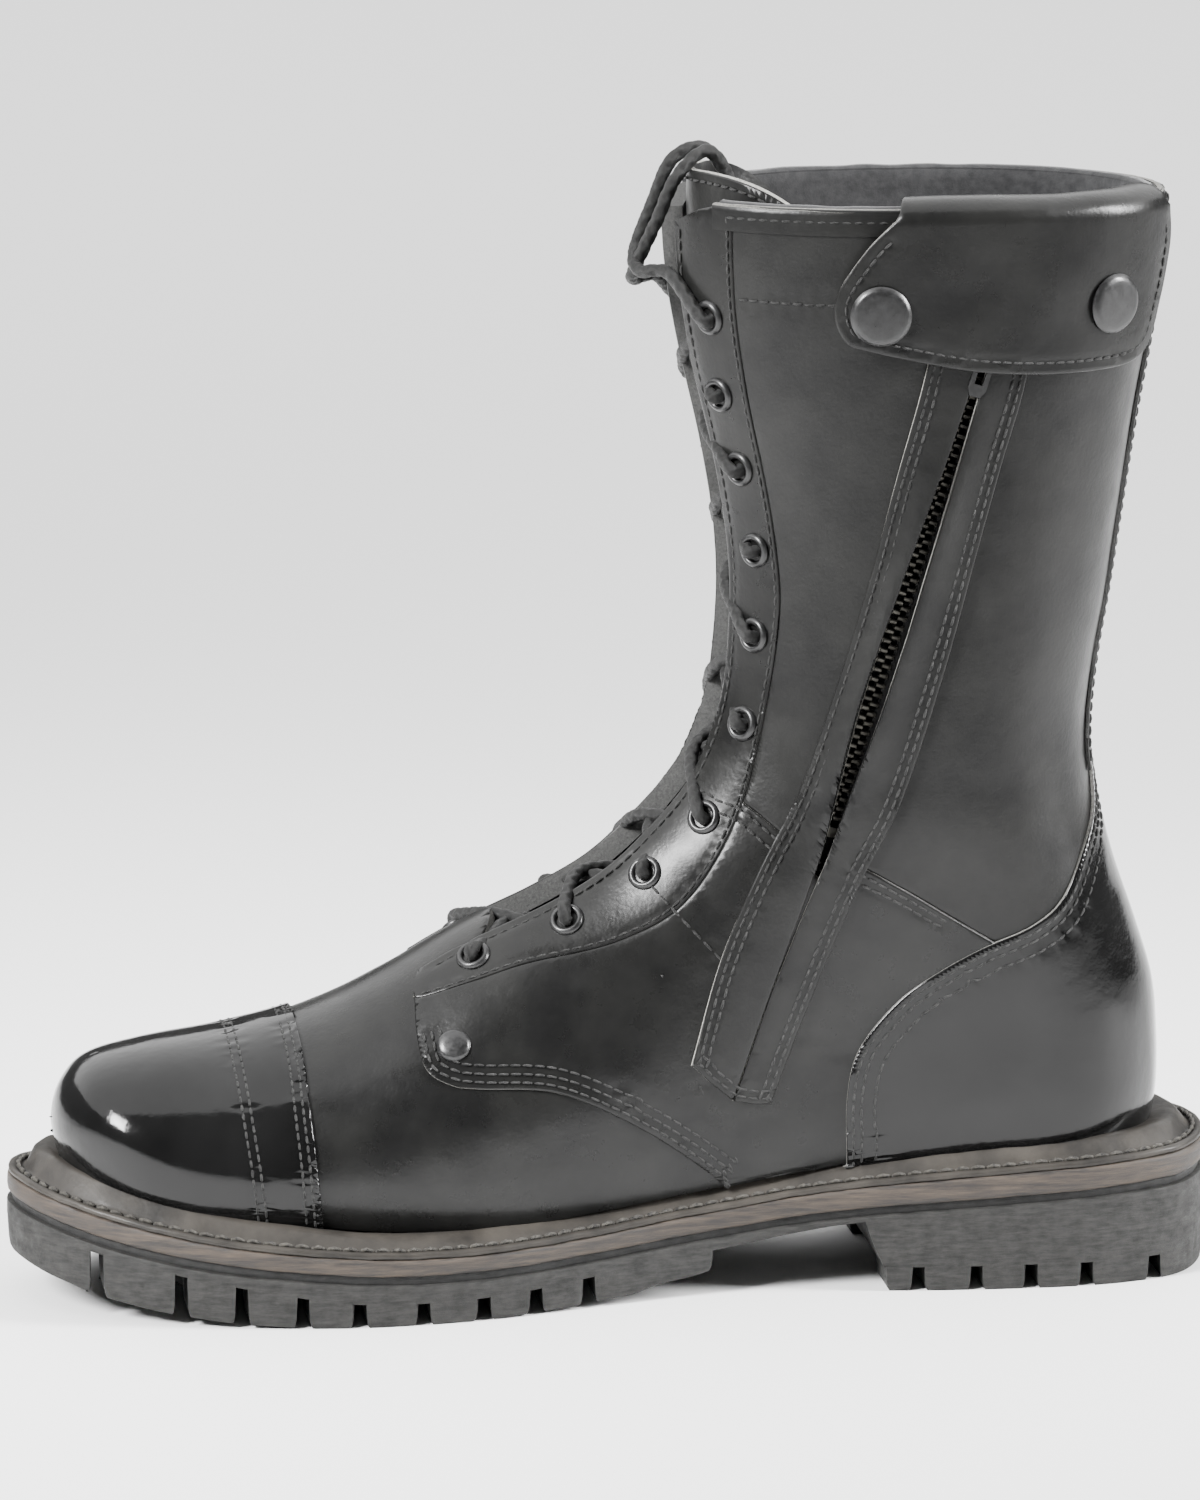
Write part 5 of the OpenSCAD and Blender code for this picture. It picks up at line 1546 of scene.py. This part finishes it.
def edge_lugs(group, grooves, x_end, bottom, top, tip_below):
    """Blocks along both edges between grooves, and one across the end of the sole."""
    inner_loop = inset(edge_loop, TREAD_BAR)
    stops = list(grooves)
    tip = stops[0] - GROOVE_HALF if tip_below else stops[-1] + GROOVE_HALF
    end = edge_loop[edge_loop[:, 0] < tip] if tip_below else edge_loop[edge_loop[:, 0] > tip]
    x, y = (end - end.mean(0)).T
    bearing = np.arctan2(y, x)
    end = end[np.argsort(bearing % (2 * math.pi) if tip_below else bearing)]
    first, last = [[(tip, side_of_sole(edge_loop, side, tip))]
                   for side in ((1, -1) if tip_below else (-1, 1))]
    lug(group, np.vstack([first, end, last]), bottom, top)
    ends = stops + [x_end] if tip_below else [x_end] + stops
    for a, b in zip(ends, ends[1:]):
        x = np.linspace(a if a == x_end else a + GROOVE_HALF, b if b == x_end else b - GROOVE_HALF, 8)
        for side in (-1, 1):
            outer = np.column_stack([x, side_of_sole(edge_loop, side, x)])
            inner = np.column_stack([x, side_of_sole(inner_loop, side, x)])
            lug(group, np.vstack([outer, inner[::-1]]), bottom, top)


def chevron(group, x, reach, half, bottom, top):
    plan = [(x, 0), (x + reach, -half), (x + reach + 6, -half), (x + 7, 0), (x + reach + 6, half),
            (x + reach, half)]
    lug(group, plan, bottom, top)


def make_outsole():
    wall = Group()
    add_worn(wall, ring_levels([
        (3, waist_at, 0.3), (0.9, waist_at, 0.0), (0.25, waist_at, 0.25), (0, waist_at, 0.9),
        (0, rubber_at, -3.0), (0.12, rubber_at, -2.5), (0.6, rubber_at, -2.25), (2.2, rubber_at, -2.2)]))
    top = height(WAIST, 0.9)
    edge_lugs(wall, FORE_GROOVES, FORE_END, ground_at, top, True)
    for x in (-122, -100, -78, -56, -34):
        chevron(wall, x, 9, 17, height(GROUND, 0.4), top)
    solid("outsole", wall.mesh(), RUBBER, "sole_rubber", "outsole", sharp=45)


def make_heel():
    """The heel block; its breast slopes back as it comes down from the waist."""
    heel = Group()
    back = edge_loop[edge_loop[:, 0] > BREAST]
    back = back[np.argsort(np.arctan2(back[:, 1], back[:, 0] - 110))]
    ends = [[(BREAST, side_of_sole(edge_loop, s, BREAST))] for s in (-1, 1)]
    plan = np.vstack([ends[0], back, ends[1]])
    plan = resample(np.vstack([plan, plan[:1]]), 1.8)[:-1]
    rings = []
    for z, slope, cut in ((6.4, 0.75, 0.25), (7.0, 0.7, 0.0), (12.5, 0.35, 0.0), (None, 0.0, 0.0)):
        moved = plan.copy()
        moved[:, 0] += BREAST_SLOPE * slope * np.clip(1 - (moved[:, 0] - BREAST) / 16, 0, 1)
        flank = (moved[:, 0] < BREAST + 17) & (np.abs(plan[:, 1]) > 30)
        for s in (-1, 1):
            on = flank & (np.sign(plan[:, 1]) == s)
            moved[on, 1] = side_of_sole(edge_loop, s, moved[on, 0])
        moved = inset(moved, cut)
        level_z = np.full(len(moved), z) if z else waist_at(moved[:, 0]) + 0.9
        rings.append(np.column_stack([moved, level_z]))
    add_worn(heel, rings)
    shelf = height([(60, 7.4), (158, 7.4)])
    edge_lugs(heel, HEEL_GROOVES, BREAST + 5.6, heel_ground_at, shelf, False)
    for x in (84, 105):
        chevron(heel, x, 8, 14, height([(60, 0.4), (158, 0.4)]), shelf)
    solid("heel_block", heel.mesh(), RUBBER, "sole_rubber", "heel_block", sharp=45)


def make_layers():
    channel = ring_levels([(2.4, rubber_at, -2.9), (1.5, rubber_at, -2.7), (1.35, rubber_at, -1.2),
                           (1.5, rubber_at, 0.1), (2.4, rubber_at, 0.3)])
    solid("sole_channel", loft(channel), CHANNEL, "sole_rubber", sharp=45)
    layer = ring_levels([(2.4, rubber_at, 0.0), (0.75, rubber_at, 0.0), (0.35, rubber_at, 0.35),
                         (0.22, rubber_at, 1.6), (0.3, midsole_at, -1.2), (0.45, midsole_at, -0.4),
                         (0.95, midsole_at, -0.05), (2.6, midsole_at, 0.0)])
    verts, faces = loft(layer)
    solid("midsole", (worn(verts, 0.18, 5.0), faces), MIDSOLE_MAT, "midsole_rubber", "midsole", sharp=50)
    section = [(3, midsole_at, -0.3), (1.0, midsole_at, 0.0), (0.6, midsole_at, 0.3),
               (0.55, midsole_at, 0.9), (0.8, midsole_at, 1.45), (1.4, midsole_at, 1.8),
               (2.1, midsole_at, 1.75), (2.6, midsole_at, 1.3),
               (4.0, midsole_at, 1.35), (4.5, midsole_at, 1.9), (5.1, midsole_at, 2.5),
               (7.0, feather, -0.5), (8.2, feather, 0.25), (9.4, feather, 0.45),
               (11.0, feather, 0.3), (15.0, feather, -0.6)]
    verts, faces = loft(ring_levels(section))
    solid("welt", (worn(verts, 0.2, 6.0), faces), WELT, "welt_leather", "welt", sharp=60)
    rows = Group()
    plan = inset(edge_loop, 3.3)
    path = np.column_stack([plan, midsole_at(plan[:, 0]) + 1.75])
    path = np.vstack([path, path[:1]])
    out = (edge_loop - plan) / 3.3
    normal = np.column_stack([0.5 * out, np.full(len(plan), 0.87)])
    normal = np.vstack([normal, normal[:1]])
    stitch(rows, path, normal, pitch=4.1, radius=0.62, lift=0.35, duty=0.86)
    solid("welt_stitching", rows.mesh(), WELT_THREAD, "welt_leather", flip=False)


def make_footbed():
    bed = ring_levels([(16, feather, 0.2), (14.6, feather, 0.3), (14.2, feather, 3.2),
                       (14.8, feather, 4.0), (16.5, feather, 4.3)])
    inner = inset(edge_loop, 16.5)
    spine = np.column_stack([inner[:, 0], inner[:, 1] * 0.45])
    bed.append(np.column_stack([spine, feather(spine[:, 0]) + 3.6]))
    solid("footbed", loft(bed), LINING_MAT, "lining_fabric", "footbed", sharp=50)


make_outsole()
make_heel()
make_layers()
make_footbed()

# ---- CAD parts that stay as they are ------------------------------------------------------------
KEPT = {"insole_board": BOARD, "cork_filler": CORK, "shank": STEEL, "zip_stops": ZIP_METAL,
        "zip_slider": BLACK_METAL, "zip_pull": BLACK_METAL, "snap_sockets": SNAP_METAL,
        "snap_studs": SNAP_METAL}
for name, material in KEPT.items():
    obj = NODES[name]
    obj.data.materials.clear()
    obj.data.materials.append(material)
    if name in ("zip_slider", "zip_pull", "zip_stops"):
        rounding = obj.modifiers.new("rounding", "BEVEL")
        rounding.width = 0.0002
        rounding.segments = 2
        rounding.limit_method = "ANGLE"

# ---- floor and light ----------------------------------------------------------------------------
FLOOR_SIZE = 14
bpy.ops.mesh.primitive_plane_add(size=FLOOR_SIZE)
floor = bpy.context.object
floor.name = "floor"
floor.data.materials.append(new_material("floor_paint", (0.92, 0.92, 0.92), 0.75)[0])

world = bpy.data.worlds.new("studio")
bpy.context.scene.world = world
world.use_nodes = True
sky = world.node_tree.nodes["Background"]
sky.inputs["Color"].default_value = (1, 1, 1, 1)
sky.inputs["Strength"].default_value = 0.12


def soft_box(name, at, aim, size, power, spread=180):
    light = bpy.data.objects.new(name, bpy.data.lights.new(name, "AREA"))
    bpy.context.scene.collection.objects.link(light)
    light.data.shape = "RECTANGLE"
    light.data.size, light.data.size_y = size
    light.data.energy = power
    light.data.spread = math.radians(spread)
    light.location = at
    light.rotation_euler = (Vector(at) - Vector(aim)).to_track_quat("Z", "Y").to_euler()


CENTRE = (0, 0, 0.12)
soft_box("key", (-1.3, -0.75, 1.15), CENTRE, (0.5, 0.7), 11, spread=50)
soft_box("right", (1.35, -0.35, 0.75), CENTRE, (0.3, 0.9), 7, spread=50)
soft_box("top", (0.0, 2.6, 2.4), (0, 2.6, 0), (9, 7), 520)
